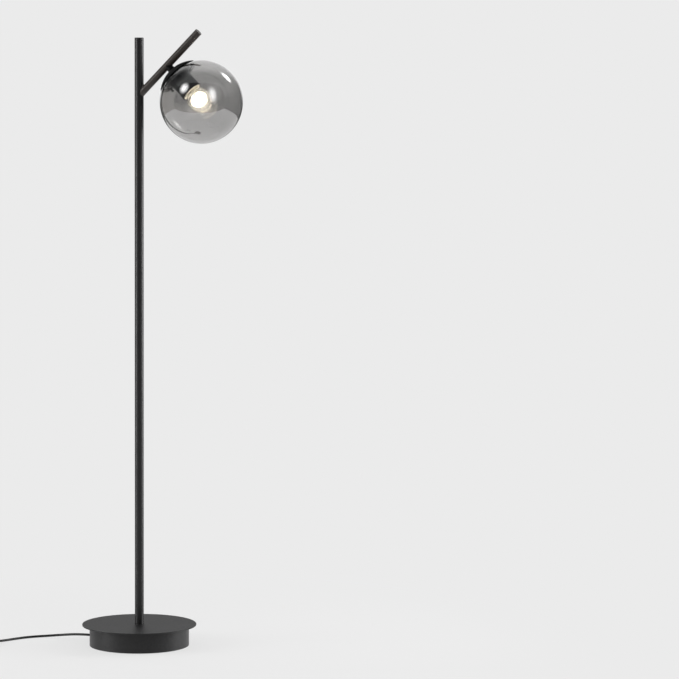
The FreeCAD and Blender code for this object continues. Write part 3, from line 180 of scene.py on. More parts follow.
# Zinc-plated steel: bright, a little cloudy.
zinc = grained("zinc_plated_steel", "#cfd2d4", "#b5b8bb", (0.28, 0.4), 0.4, 0.01, 5.0,
               {"Metallic": 1.0})
# The inner disc's grey metallic lacquer over spun steel: it mirrors the glass softly.
disc_paint = grained("grey_metallic_lacquer", "#c2c5c6", "#b2b5b6", (0.26, 0.34), 0.5, 0.008, 8.0,
                     {"Metallic": 0.6})
# Tempered spring steel, rolled: mid grey, half bright and lightly clouded.
spring_steel = grained("tempered_spring_steel", "#8a8c8f", "#6f7174", (0.25, 0.35), 0.3, 0.006, 4.0,
                       {"Metallic": 1.0})
# Black nickel plating on the spun holder cover: a dark, smooth mirror with a blue-grey cast.
black_nickel = grained("black_nickel_plating", "#2b3034", "#23282b", (0.16, 0.21), 0.5, 0.004, 12.0,
                       {"Metallic": 0.9})
# Ivory urea moulding of the lamp holder: warm, smooth and half gloss.
ivory = grained("ivory_urea_moulding", "#f0eee2", "#e9e6d6", (0.28, 0.38), 0.4, 0.01, 10.0, {})
# Black phenolic moulding of the insulators: brownish black, half gloss.
phenolic = grained("black_phenolic_moulding", "#242322", "#1a1918", (0.3, 0.45), 0.4, 0.01, 6.0, {})
# Pressed brass, left bare: warm yellow and fairly bright.
brass = grained("pressed_brass", "#d9b871", "#c7a35b", (0.22, 0.34), 0.3, 0.008, 5.0, {"Metallic": 1.0})
# Aluminium of the bulb's screw cap, pressed and a little dull.
aluminium = grained("pressed_aluminium", "#dcdcd8", "#c9c9c5", (0.25, 0.36), 0.3, 0.01, 5.0,
                    {"Metallic": 1.0})
# Foot pads of EVA foam: dull black with open cells of about 0.5 mm.
foam = grained("black_eva_foam", "#1f1f20", "#161617", (0.85, 0.95), 0.5, 0.12, 5.0, {})
# Black nylon of bush, clamp, tie and plug: matt with an eroded mould's grain.
nylon = grained("black_moulded_nylon", "#1e1e1f", "#161617", (0.45, 0.58), 0.4, 0.03, 6.0, {})
# Black ABS of the foot switch: spark-eroded grain on the shells, about 0.5 mm.
abs_shell = grained("black_moulded_abs", "#232324", "#1a1a1b", (0.34, 0.46), 0.5, 0.03, 8.0, {})
# Black PVC sheath of the lead: smooth, half matt, with a faint drift along its length.
pvc = grained("black_pvc_sheath", "#0d0d0e", "#070708", (0.40, 0.50), 0.8, 0.02, 12.0,
              {"Specular IOR Level": 0.3})
# Blank paper patch on the holder cover: matt white, slightly yellowed.
paper = grained("blank_white_paper", "#d9d8d2", "#cfcec7", (0.6, 0.7), 0.3, 0.01, 3.0, {})


def blown_glass(name, values, wave, detail, depth):
    """Glass with the slight waves of blown glass, their size and depth in millimetres."""
    material, tree, shader, place = surface(name, values)
    waves = add_node(tree, "ShaderNodeTexNoise", {"Scale": per_metre(wave), "Detail": detail},
                     {"Vector": place})
    bump = add_node(tree, "ShaderNodeBump", {"Strength": 1.0, "Distance": depth * MM},
                    {"Height": waves.outputs["Fac"]})
    tree.links.new(bump.outputs["Normal"], shader.inputs["Normal"])
    return material, tree, shader, place


# Smoked soda glass with a thin half-mirror coat: grey to look through, and it throws back more of
# the room than plain glass does, so its IOR stands for that of the coat.
smoked_glass = blown_glass("smoked_half_mirror_glass", {
    "Base Color": linear("#cac9c8"), "Roughness": 0.0, "IOR": 2.35, "Transmission Weight": 1.0,
}, 60, 1.0, 0.05)[0]

VEIL_SIZE = 3
VEIL_FROM, VEIL_TO = 0.42, 0.62
VEIL_ROUGH = 0.16


def veiled_glass():
    """Clear blown bulb glass with a faint veil on its inside.

    The veil carries the glow of the lit rods over the ball, and the clear part keeps the
    highlights.
    """
    material, tree, shader, place = blown_glass("clear_blown_glass", {
        "Base Color": linear("#fbfaf7"), "Roughness": 0.01, "IOR": 1.48, "Transmission Weight": 0.86,
    }, 9, 2.0, 0.12)
    veil = add_node(tree, "ShaderNodeTexNoise", {"Scale": per_metre(VEIL_SIZE), "Detail": 2.0},
                    {"Vector": place})
    patchy = add_node(tree, "ShaderNodeMapRange", {
        "From Min": VEIL_FROM, "From Max": VEIL_TO, "To Min": 0.0, "To Max": VEIL_ROUGH,
    }, {"Value": veil.outputs["Fac"]})
    tree.links.new(patchy.outputs["Result"], shader.inputs["Roughness"])
    return material


# The bulb's glass: clear, with small bright highlights and soft bright patches.
clear_glass = veiled_glass()


def glowing(name, cool, hot, strength, grain):
    """A lit surface whose light varies a little from place to place."""
    material, tree, shader, place = surface(name, {"Base Color": linear("#f4e7c4"), "Roughness": 0.5,
                                                   "Emission Strength": strength})
    noise = add_node(tree, "ShaderNodeTexNoise", {"Scale": per_metre(grain)}, {"Vector": place})
    colour = add_node(tree, "ShaderNodeMix", {MIX_FROM: linear(cool), MIX_TO: linear(hot)},
                      {0: noise.outputs["Fac"]}, data_type="RGBA")
    tree.links.new(colour.outputs[MIXED], shader.inputs["Emission Color"])
    return material


# Phosphor-coated light rods, lit: warm white, far brighter than the room.
lit_rods = glowing("lit_phosphor_coating", "#fff8ee", "#fffdf9", 7.0, 3.0)
# The fine strands round them glow a little less, as bright threads.
lit_strands = glowing("lit_fine_filament", "#fff6ea", "#fffdf9", 5.0, 2.0)

finish_of_slot = {
    "powder_coat": powder_coat, "cast_weight": cast_iron, "zinc_steel": zinc,
    "disc_paint": disc_paint, "clip_steel": spring_steel, "cover_gloss": black_nickel,
    "holder_ivory": ivory, "insulator": phenolic, "brass": brass, "globe_glass": smoked_glass,
    "bulb_glass": clear_glass, "bulb_metal": aluminium, "light_rods": lit_rods,
    "rubber_pad": foam, "black_plastic": nylon, "switch_plastic": abs_shell, "cord_sheath": pvc,
}
finish_of_node = {"globe_cap": satin_coat_and_painted_shade, "arm_stem": satin_coat_and_painted_shade, "arm_tube": arm_coat_painted_warm_light,
                  "arm_end_cap": arm_coat_painted_warm_light, "arm_weld": arm_coat_painted_warm_light}


def paint_nodes():
    """Gives every solid of the part its finish."""
    for row in frame["record"]["subparts"]:
        thing = nodes[row["node"]]
        finish = finish_of_node.get(row["node"], finish_of_slot[row["material_slot"]])
        if not thing.material_slots:
            thing.data.materials.append(finish)
        for socket in thing.material_slots:
            socket.material = finish


paint_nodes()

# ---------------------------------------------------------------- turned pieces

# The head hangs square to the arm; heights in its frame run from the arm's axis along the stem.
ARM_HEIGHT = 1348 * MM
STEM_ALONG = 104 * MM
LEAN = math.radians(45)
head = (
    Matrix.Translation((STEM_ALONG * math.sin(LEAN), 0, ARM_HEIGHT + STEM_ALONG * math.cos(LEAN)))
    @ Matrix.Rotation(math.pi - LEAN, 4, "Y")
)
TINY = 1e-9


def keep(name, mesh, finish=None):
    """Puts a mesh into the scene as a smooth object at the origin."""
    thing = bpy.data.objects.new(name, mesh)
    if finish is not None:
        mesh.materials.append(finish)
    scene.collection.objects.link(thing)
    return thing


def spun(name, outline, finish, rounds):
    """A piece turned about the head's axis from (radius, height) corners in millimetres."""
    shape = bmesh.new()
    rings = []
    for radius, height in outline:
        if radius < TINY:
            rings.append([shape.verts.new((0, 0, height * MM))])
            continue
        turns = [2 * math.pi * k / rounds for k in range(rounds)]
        rings.append([shape.verts.new((radius * MM * math.cos(a), radius * MM * math.sin(a), height * MM))
                      for a in turns])
    for one, two in zip(rings, rings[1:]):
        for k in range(rounds):
            after = (k + 1) % rounds
            corners = [one[k % len(one)], one[after % len(one)], two[after % len(two)], two[k % len(two)]]
            shape.faces.new(list(dict.fromkeys(corners)))
    bmesh.ops.recalc_face_normals(shape, faces=shape.faces)
    mesh = bpy.data.meshes.new(name)
    shape.to_mesh(mesh)
    shape.free()
    mesh.transform(head)
    mesh.shade_smooth()
    return keep(name, mesh, finish)


def sweep(middle, radius, start, end, count):
    """(radius, height) corners on a ball about the axis, by angle from the axis's far end."""
    angles = [start + (end - start) * k / count for k in range(count + 1)]
    return [(abs(radius * math.sin(a)) if abs(math.sin(a)) > TINY else 0.0, middle + radius * math.cos(a))
            for a in angles]


GLOBE_MIDDLE = 124
GLOBE_RADIUS = 100
GLOBE_WALL = 1.8
GLOBE_MOUTH = 48
GLOBE_STEPS = 96
GLOBE_ROUNDS = 192
# The rim: where the ball stops short of the mouth, in radians, how far the melted edge stands
# inwards and down, and how far its two shoulders bulge.
RIM_SHORT = 0.006
RIM_IN, RIM_DOWN = 0.55, 0.28
OUTER_IN, OUTER_DOWN, INNER_IN = 0.1, 0.2, 0.2


def halfway(one, two):
    """The middle between two corners of an outline."""
    return (one[0] + two[0]) / 2, (one[1] + two[1]) / 2


def make_globe():
    """The blown globe has a fire-polished rim at its mouth."""
    inside = GLOBE_RADIUS - GLOBE_WALL
    outer_end = math.pi - math.asin(GLOBE_MOUTH / GLOBE_RADIUS)
    inner_end = math.pi - math.asin(GLOBE_MOUTH / inside)
    outer = sweep(GLOBE_MIDDLE, GLOBE_RADIUS, 0, outer_end - RIM_SHORT, GLOBE_STEPS)
    inner = sweep(GLOBE_MIDDLE, inside, inner_end - RIM_SHORT, 0, GLOBE_STEPS)
    middle = halfway(outer[-1], inner[0])
    low = (middle[0] - RIM_IN, middle[1] - RIM_DOWN)
    outer_bulge, inner_bulge = halfway(outer[-1], low), halfway(inner[0], low)
    rim = [(outer_bulge[0] - OUTER_IN, outer_bulge[1] - OUTER_DOWN), low,
           (inner_bulge[0] - INNER_IN, inner_bulge[1])]
    globe = spun("smoked_globe", outer + rim + inner, smoked_glass, GLOBE_ROUNDS)
    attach(globe, "globe")
    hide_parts("glass_globe")


BULB_MIDDLE = 115
BULB_RADIUS = 29.5
BULB_WALL = 0.9
CAP_END = 85
# The neck's (radius, height) corners from the ball down, and the radius at which it leaves the ball.
NECK = [(16.2, 90.8), (14.3, 89.3), (12.9, 87.6), (12.25, 86.0), (12.2, CAP_END)]
NECK_RADIUS = 18.47
NECK_INNER_UP = 0.2
BULB_STEPS = 64
BULB_ROUNDS = 128


def make_bulb():
    """The bulb's glass runs from a ball through a drawn-in neck into the screw cap."""
    neck_turn = math.pi - math.asin(NECK_RADIUS / BULB_RADIUS)
    outline = sweep(BULB_MIDDLE, BULB_RADIUS, 0, neck_turn, BULB_STEPS) + NECK
    outline += [(radius - BULB_WALL, height + NECK_INNER_UP) for radius, height in reversed(NECK)]
    outline += sweep(BULB_MIDDLE, BULB_RADIUS - BULB_WALL, neck_turn, 0, BULB_STEPS)
    bulb = spun("round_bulb", outline, clear_glass, BULB_ROUNDS)
    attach(bulb, "bulb")
    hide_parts("bulb_glass")
    bulb.visible_shadow = False


COVER_RADIUS = 26.5
PATCH_FROM, PATCH_TO = 78, 87
PATCH_LEFT, PATCH_RIGHT = 118, 149
PATCH_GAP, PATCH_THICK = 0.02, 0.15
PATCH_STEPS = 12


def make_patch():
    """A blank paper patch follows the round of the holder cover near its open end."""
    shape = bmesh.new()
    under, over = COVER_RADIUS + PATCH_GAP, COVER_RADIUS + PATCH_THICK
    edge = [(under, PATCH_FROM), (over, PATCH_FROM), (over, PATCH_TO), (under, PATCH_TO)]
    rows = []
    for k in range(PATCH_STEPS + 1):
        angle = math.radians(PATCH_LEFT + (PATCH_RIGHT - PATCH_LEFT) * k / PATCH_STEPS)
        rows.append([
            shape.verts.new((radius * MM * math.cos(angle), radius * MM * math.sin(angle), height * MM))
            for radius, height in edge])
    for one, two in zip(rows, rows[1:]):
        for k in range(4):
            shape.faces.new((one[k], one[(k + 1) % 4], two[(k + 1) % 4], two[k]))
    shape.faces.new(rows[0])
    shape.faces.new(rows[-1])
    bmesh.ops.recalc_face_normals(shape, faces=shape.faces)
    mesh = bpy.data.meshes.new("cover_patch")
    shape.to_mesh(mesh)
    shape.free()
    mesh.transform(head)
    patch = keep("cover_patch", mesh, paper)
    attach(patch, "lamp")


# The hairpin wire that carries the bulb's rods, across the head's axis and along it.
HAIRPIN = [(-3.2, 89), (-3.6, 93), (-5.2, 97.5), (-3.2, 101), (0, 101.8), (3.2, 101), (5.2, 97.5),
           (3.6, 93), (3.2, 89)]
HAIRPIN_RADIUS = 0.4


def make_hairpin():
    """A dark bent wire stands in the bulb's neck."""
    curve = bpy.data.curves.new("bulb_hairpin", "CURVE")
    curve.dimensions = "3D"
    curve.bevel_depth = HAIRPIN_RADIUS * MM
    curve.bevel_resolution = 3
    curve.use_fill_caps = True
    spline = curve.splines.new("NURBS")
    spline.points.add(len(HAIRPIN) - 1)
    for point, (across, height) in zip(spline.points, HAIRPIN):
        point.co = (across * MM, 0, height * MM, 1)
    spline.order_u = 3
    spline.use_endpoint_u = True
    bent = bpy.data.objects.new("bulb_hairpin_curve", curve)
    scene.collection.objects.link(bent)
    mesh = bpy.data.meshes.new_from_object(bent.evaluated_get(bpy.context.evaluated_depsgraph_get()))
    bpy.data.objects.remove(bent)
    mesh.transform(head)
    mesh.materials.clear()
    wire = keep("bulb_hairpin", mesh, spring_steel)
    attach(wire, "bulb")


make_globe()
make_bulb()
make_patch()
make_hairpin()

# ---------------------------------------------------------------- repeated pieces

WIRE_SIDES = 10
RING_SIDES = 48
STRAND_STEPS = 12
HELIX_STEPS = 28


def new_tree(name, inputs):
    """A Geometry Nodes tree with named inputs and one output; returns it and its input node."""
    made = bpy.data.node_groups.new(name, "GeometryNodeTree")
    for label, kind in inputs:
        made.interface.new_socket(name=label, in_out="INPUT", socket_type="NodeSocket" + kind)
    made.interface.new_socket(name="Geometry", in_out="OUTPUT", socket_type="NodeSocketGeometry")
    return made, add_node(made, "NodeGroupInput")


def finish_tree(made, start, curve):
    """Gives the curves their thickness, realizes them and sets their material."""
    thin = add_node(made, "GeometryNodeCurvePrimitiveCircle", {"Resolution": WIRE_SIDES},
                    {"Radius": start.outputs["Half Thickness"]}, mode="RADIUS")
    tube = add_node(made, "GeometryNodeCurveToMesh", {"Fill Caps": True},
                    {"Curve": curve, "Profile Curve": thin.outputs["Curve"]})
    smooth = add_node(made, "GeometryNodeSetShadeSmooth", links={"Geometry": tube.outputs["Mesh"]})
    real = add_node(made, "GeometryNodeRealizeInstances", links={"Geometry": smooth.outputs["Geometry"]})
    done = add_node(made, "GeometryNodeSetMaterial", links={
        "Geometry": real.outputs["Geometry"], "Material": start.outputs["Material"]})
    add_node(made, "NodeGroupOutput", links={0: done.outputs["Geometry"]})
    return made


def ring_tree():
    """Rings one after another along Z, from a first radius to a last one."""
    made, start = new_tree("rings_in_a_row", [
        ("Count", "Int"), ("Pitch", "Float"), ("First Radius", "Float"), ("Last Radius", "Float"),
        ("Half Thickness", "Float"), ("Material", "Material")])
    step = add_node(made, "ShaderNodeCombineXYZ", links={"Z": start.outputs["Pitch"]})
    spots = add_node(made, "GeometryNodeMeshLine", links={
        "Count": start.outputs["Count"], "Offset": step.outputs["Vector"]}, mode="OFFSET")
    index = add_node(made, "GeometryNodeInputIndex")
    last = add_node(made, "ShaderNodeMath", {1: 1.0}, {0: start.outputs["Count"]}, operation="SUBTRACT")
    radius = add_node(made, "ShaderNodeMapRange", links={
        "Value": index.outputs["Index"], "From Max": last.outputs["Value"],
        "To Min": start.outputs["First Radius"], "To Max": start.outputs["Last Radius"]})
    ring = add_node(made, "GeometryNodeCurvePrimitiveCircle",
                    {"Resolution": RING_SIDES, "Radius": 1.0}, mode="RADIUS")
    rows = add_node(made, "GeometryNodeInstanceOnPoints", links={
        "Points": spots.outputs["Mesh"], "Instance": ring.outputs["Curve"],
        "Scale": radius.outputs["Result"]})
    real = add_node(made, "GeometryNodeRealizeInstances", links={"Geometry": rows.outputs["Instances"]})
    return finish_tree(made, start, real.outputs["Geometry"])


def strand_tree():
    """Bowed strands round the Z axis, each from a foot radius out to a bow and back to a top."""
    made, start = new_tree("strands_round_an_axis", [
        ("Count", "Int"), ("Foot Radius", "Float"), ("Bow Radius", "Float"), ("Bow Height", "Float"),
        ("Top Radius", "Float"), ("Lean", "Float"), ("Length", "Float"), ("Half Thickness", "Float"),
        ("Material", "Material")])
    foot = add_node(made, "ShaderNodeCombineXYZ", links={"X": start.outputs["Foot Radius"]})
    bow = add_node(made, "ShaderNodeCombineXYZ", links={
        "X": start.outputs["Bow Radius"], "Z": start.outputs["Bow Height"]})
    top = add_node(made, "ShaderNodeCombineXYZ", links={
        "X": start.outputs["Top Radius"], "Y": start.outputs["Lean"], "Z": start.outputs["Length"]})
    strand = add_node(made, "GeometryNodeCurveQuadraticBezier", {"Resolution": STRAND_STEPS}, {
        "Start": foot.outputs["Vector"], "Middle": bow.outputs["Vector"], "End": top.outputs["Vector"]})
    spots = add_node(made, "GeometryNodeMeshLine", {"Offset": (0, 0, 0)},
                     {"Count": start.outputs["Count"]}, mode="OFFSET")
    index = add_node(made, "GeometryNodeInputIndex")
    part = add_node(made, "ShaderNodeMath", links={0: index.outputs["Index"], 1: start.outputs["Count"]},
                    operation="DIVIDE")
    angle = add_node(made, "ShaderNodeMath", {1: 2 * math.pi}, {0: part.outputs["Value"]},
                     operation="MULTIPLY")
    turn = add_node(made, "ShaderNodeCombineXYZ", links={"Z": angle.outputs["Value"]})
    rows = add_node(made, "GeometryNodeInstanceOnPoints", links={
        "Points": spots.outputs["Mesh"], "Instance": strand.outputs["Curve"],
        "Rotation": turn.outputs["Vector"]})
    real = add_node(made, "GeometryNodeRealizeInstances", links={"Geometry": rows.outputs["Instances"]})
    return finish_tree(made, start, real.outputs["Geometry"])


def coil_tree():
    """An open helix up the Z axis."""
    made, start = new_tree("open_helix", [
        ("Turns", "Float"), ("Radius", "Float"), ("Height", "Float"), ("Half Thickness", "Float"),
        ("Material", "Material")])
    helix = add_node(made, "GeometryNodeCurveSpiral", {"Resolution": HELIX_STEPS}, {
        "Rotations": start.outputs["Turns"], "Start Radius": start.outputs["Radius"],
        "End Radius": start.outputs["Radius"], "Height": start.outputs["Height"]})
    return finish_tree(made, start, helix.outputs["Curve"])


def grown(name, made, values, place):
    """What a tree makes, as a plain mesh at its place."""
    thing = keep(name, bpy.data.meshes.new(name))
    modifier = thing.modifiers.new("rule", "NODES")
    modifier.node_group = made
    for item in made.interface.items_tree:
        if item.in_out == "INPUT":
            modifier[item.identifier] = values[item.name]
    graph = bpy.context.evaluated_depsgraph_get()
    mesh = bpy.data.meshes.new_from_object(thing.evaluated_get(graph))
    mesh.name = name
    thing.modifiers.clear()
    mesh.transform(place)
    thing.data = mesh
    return thing


rings = ring_tree()
strands = strand_tree()

ROD_FOOT = 99
strand_values = {"Count": 26, "Foot Radius": 8 * MM, "Bow Radius": 33 * MM, "Bow Height": 16 * MM,
                 "Top Radius": 8 * MM, "Lean": 9 * MM, "Length": 32 * MM,
                 "Half Thickness": 0.6 * MM, "Material": lit_strands}
strand_place = head @ Matrix.Translation((0, 0, ROD_FOOT * MM))
bulb_strands = grown("lit_strands", strands, strand_values, strand_place)
bulb_strands.visible_shadow = False
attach(bulb_strands, "bulb")

# ---------------------------------------------------------------- foot switch, leads and plug

SWITCH_AT = Vector((-349, -118, 0)) * MM
SWITCH_TURN = math.radians(245.4)
ahead = Vector((math.cos(SWITCH_TURN), math.sin(SWITCH_TURN), 0))
right = Vector((math.sin(SWITCH_TURN), -math.cos(SWITCH_TURN), 0))
CORD = 6 * MM


def on_floor(along, across, height):
    """A place given in millimetres along and across the foot switch, from its near end."""
    return SWITCH_AT + ahead * (along * MM) + right * (across * MM) + Vector((0, 0, height * MM))


# From the bush in the drum over the floor to the switch.
LEAD_TO_SWITCH = [
    (-123.8, 0, 18), (-145, 0, 18), (-172, 7, 15.8), (-200, 16, 11.8), (-229, 21, 7.6),
    (-257, 18, 4.6), (-284, 5, 3.4), (-305, -18, 3.2), (-322, -49, 3.2), (-335, -84, 4.3),
]
# From the switch to the coil, and from the coil to the plug, along and across the switch.
LEAD_TO_COIL = [
    (78, 0, 6.5), (104, 0, 6.5), (117, 1.3, 6.3), (131, 6.5, 5.6), (142, 16, 4.9),
    (148.8, 29, 4.4), (151, 44, 4.2), (151, 92, 4.2),
]
LEAD_TO_PLUG = [(101, 142, 10.8), (89, 142, 10.8), (75, 142.4, 9.2), (61, 142, 7.0), (47, 142, 7.0)]
COIL_RADIUS = 44
COIL_PITCH = 6.6
COIL_TURNS = 5.25
COIL_CLIMB = 0.25
COIL_LOW = 4.2
COIL_ASIDE = 6
COIL_POINTS = 16


def coil_spot(turns):
    """A place on the coil, which winds inwards in its lower layer and out again in the upper."""
    middle = COIL_TURNS / 2
    off = turns - middle
    inward = abs(off) if abs(off) > COIL_CLIMB else off * off / (2 * COIL_CLIMB) + COIL_CLIMB / 2
    share = max(-1.0, min(1.0, off / COIL_CLIMB))
    # The control points of a smooth spline stand a little outside it.
    radius = (COIL_RADIUS - COIL_PITCH * (middle - inward)) / math.cos(math.pi / COIL_POINTS)
    angle = 2 * math.pi * turns
    height = COIL_LOW + COIL_PITCH * (1 + math.sin(share * math.pi / 2)) / 2
    along = LEAD_TO_COIL[-1][0] - COIL_RADIUS + radius * math.cos(angle)
    across = LEAD_TO_COIL[-1][1] + COIL_ASIDE + radius * math.sin(angle)
    return on_floor(along, across, height)


def lead(name, spots):
    """A round lead on one smooth spline, with those places as its control points."""
    curve = bpy.data.curves.new(name, "CURVE")
    curve.dimensions = "3D"
    curve.bevel_depth = CORD / 2
    curve.bevel_resolution = 6
    curve.resolution_u = 6
    curve.use_fill_caps = True
    spline = curve.splines.new("NURBS")
    spline.points.add(len(spots) - 1)
    for point, spot in zip(spline.points, spots):
        point.co = (*spot, 1)
    spline.order_u = 3
    spline.use_endpoint_u = True
    curve.materials.append(pvc)
    thing = bpy.data.objects.new(name, curve)
    scene.collection.objects.link(thing)
    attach(thing, "lamp")
    return thing


# Ribs on the cord guards: half their thickness, pitch and count, their first and last radius, and
# where they start along the switch, at the height at which the lead enters it.
RIB_HALF = 0.45
RIB_PITCH = 2.8
RIBS = 6
GUARD_WIDE, GUARD_SLIM = 4.95, 3.97
GUARD_NEAR, GUARD_FAR = -2.5, 80.5
LEAD_HEIGHT = 6.5
PLUG_SLIM, PLUG_WIDE = 3.88, 4.58
PLUG_RIBS_AT = (44, 142, 7)
# Ridges on the foot button, one round the other.
BUTTON_TOP = 25
BUTTON_AT = 39
RIDGES = 4
RIDGE_FIRST, RIDGE_LAST = 3.5, 10.5
RIDGE_HALF = 0.35


def rib_set(name, body, slot, spot, turn, tip, pitch, first, last, count, half):
    """Rings moulded on a piece: from spot along the way that turn and tip give."""
    place = (Matrix.Translation(spot) @ Matrix.Rotation(turn, 4, "Z")
             @ Matrix.Rotation(math.radians(tip), 4, "Y"))
    made = grown(name, rings, {
        "Count": count, "Pitch": pitch * MM, "First Radius": first * MM, "Last Radius": last * MM,
        "Half Thickness": half * MM, "Material": finish_of_slot[slot]}, place)
    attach(made, body)
    return made


SPRING_WIRE = 0.9
SPRING_RADIUS = 4.5
SPRING_TURNS = 3


def make_press_spring():
    """The spring under the foot button, which the button presses together as it goes down, drawn as an
    open coil at rest as tall as the part's spring.
    """
    low, high = (corner[2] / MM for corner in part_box("switch_spring"))
    place = Matrix.Translation(on_floor(BUTTON_AT, 0, low + SPRING_WIRE / 2))
    spring = grown("press_spring", coil_tree(), {
        "Turns": SPRING_TURNS, "Radius": SPRING_RADIUS * MM, "Height": (high - low - SPRING_WIRE) * MM,
        "Half Thickness": SPRING_WIRE / 2 * MM, "Material": zinc}, place)
    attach(spring, "lamp")
    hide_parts("switch_spring")
    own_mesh(spring)
    return spring


press_spring = make_press_spring()
near_ribs = rib_set("near_guard_ribs", "lamp", "black_plastic", on_floor(GUARD_NEAR, 0, LEAD_HEIGHT),
                    SWITCH_TURN, -90, RIB_PITCH, GUARD_WIDE, GUARD_SLIM, RIBS, RIB_HALF)
far_ribs = rib_set("far_guard_ribs", "lamp", "black_plastic", on_floor(GUARD_FAR, 0, LEAD_HEIGHT),
                   SWITCH_TURN, 90, RIB_PITCH, GUARD_WIDE, GUARD_SLIM, RIBS, RIB_HALF)
plug_ribs = rib_set("plug_guard_ribs", "lamp", "black_plastic", on_floor(*PLUG_RIBS_AT),
                    SWITCH_TURN, -90, RIB_PITCH, PLUG_SLIM, PLUG_WIDE, RIBS, RIB_HALF)
rib_set("button_ridges", "foot_button", "switch_plastic", on_floor(BUTTON_AT, 0, BUTTON_TOP),
        0.0, 0, 0.0, RIDGE_FIRST, RIDGE_LAST, RIDGES, RIDGE_HALF)

# How far before the switch's near end the lead to the switch runs straight at the height at which it
# enters, in millimetres.
GUARD_TIP = -26


def make_leads():
    """The lead runs from the drum to the foot switch, and from there by the coil to the plug."""
    first = [Vector(spot) * MM for spot in LEAD_TO_SWITCH]
    first += [on_floor(GUARD_TIP, 0, LEAD_HEIGHT), on_floor(0, 0, LEAD_HEIGHT)]
    to_switch = lead("lead_to_switch", first)
    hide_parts("cord_to_switch")
    second = [on_floor(*spot) for spot in LEAD_TO_COIL]
    steps = int(COIL_TURNS * COIL_POINTS)
    second += [coil_spot(k / COIL_POINTS) for k in range(steps + 1)]
    second += [on_floor(*spot) for spot in LEAD_TO_PLUG]
    to_plug = lead("lead_to_plug", second)
    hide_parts("cord_to_coil", "cord_coil", "cord_to_plug")


make_leads()

# ---------------------------------------------------------------- stage

BACKGROUND = linear("#ebebeb")
FLOOR_HALF = 40
# How far from the post the floor starts to turn into the background and ends doing so, and how
# much of the background it has next to the post.
FADE_FROM, FADE_TO = 0.35, 1.1
NEAR_SHARE = 0.8


def make_floor():
    """A pale floor that keeps the lamp's soft shadow and runs into the background far off."""
    shape = bmesh.new()
    bmesh.ops.create_grid(shape, x_segments=8, y_segments=8, size=FLOOR_HALF)
    mesh = bpy.data.meshes.new("floor")
    shape.to_mesh(mesh)
    shape.free()
    floor = keep("floor", mesh)
    material = bpy.data.materials.new("pale_matt_floor")
    material.use_nodes = True
    tree = material.node_tree
    tree.nodes.clear()
    place = add_node(tree, "ShaderNodeTexCoord").outputs["Object"]
    away = add_node(tree, "ShaderNodeVectorMath", links={0: place}, operation="LENGTH")
    share = add_node(tree, "ShaderNodeMapRange",
                     {"From Min": FADE_FROM, "From Max": FADE_TO, "To Min": NEAR_SHARE},
                     {"Value": away.outputs["Value"]}, interpolation_type="SMOOTHSTEP")
    matt = add_node(tree, "ShaderNodeBsdfDiffuse", {"Color": BACKGROUND})
    plain = add_node(tree, "ShaderNodeEmission", {"Color": BACKGROUND})
    both = add_node(tree, "ShaderNodeMixShader", links={
        0: share.outputs["Result"], 1: matt.outputs["BSDF"], 2: plain.outputs["Emission"]})
    add_node(tree, "ShaderNodeOutputMaterial", links={"Surface": both.outputs["Shader"]})
    mesh.materials.append(material)


# The studio that the glass mirrors, in metres to the right, towards the camera and up.
FRONT_LEFT, FRONT_MIDDLE, FRONT_RIGHT = (-4.9, 0.75), (-0.4, 2.45), (5.0, 2.1)
BACK_RIGHT, BACK_LEFT = (2.9, -5.2), (-2.9, -5.2)
ROOM_HEIGHT = 4.6


def spot_at(across, towards, height):
    """A place in metres to the right of the post, towards the camera and up."""
    return to_right * across + to_camera * towards + Vector((0, 0, height))


def mirrored_material(name):
    """A material that only mirrored rays see: straight rays pass, also those through the glass."""
    material = bpy.data.materials.new(name)
    material.use_nodes = True
    tree = material.node_tree
    tree.nodes.clear()
    path = add_node(tree, "ShaderNodeLightPath")
    mirrored = add_node(tree, "ShaderNodeMath", {1: 0.5}, {0: path.outputs["Glossy Depth"]},
                        operation="GREATER_THAN")
    place = add_node(tree, "ShaderNodeTexCoord").outputs["Object"]
    return material, tree, place, mirrored.outputs["Value"]


def finish_mirrored(tree, share, glow):
    """Mixes the glow with a clear shader by its share."""
    clear = add_node(tree, "ShaderNodeBsdfTransparent")
    both = add_node(tree, "ShaderNodeMixShader", links={
        0: share, 1: clear.outputs["BSDF"], 2: glow.outputs["Emission"]})
    add_node(tree, "ShaderNodeOutputMaterial", links={"Surface": both.outputs["Shader"]})


def studio_finish(name, low, high, from_at, to_at):
    """A studio wall, from one grey to another by its height."""
    material, tree, place, mirrored = mirrored_material(name)
    split = add_node(tree, "ShaderNodeSeparateXYZ", links={"Vector": place})
    share = add_node(tree, "ShaderNodeMapRange", {"From Min": from_at, "From Max": to_at},
                     {"Value": split.outputs["Z"]}, interpolation_type="SMOOTHSTEP")
    colour = add_node(tree, "ShaderNodeMix", {MIX_FROM: linear(low), MIX_TO: linear(high)},
                      {0: share.outputs["Result"]}, data_type="RGBA")
    glow = add_node(tree, "ShaderNodeEmission", links={"Color": colour.outputs[MIXED]})
    finish_mirrored(tree, mirrored, glow)
    return material


def only_reflected(thing):
    """Leaves a piece of the studio to reflections alone."""
    thing.visible_camera = False
    thing.visible_diffuse = False
    thing.visible_shadow = False


def make_wall(name, corners, tones):
    """One wall of the studio, as a single flat face."""
    mesh = bpy.data.meshes.new("studio_" + name)
    mesh.from_pydata([tuple(spot_at(*corner)) for corner in corners], [], [range(len(corners))])
    only_reflected(keep("studio_" + name, mesh, studio_finish("studio_grey_" + name, *tones)))


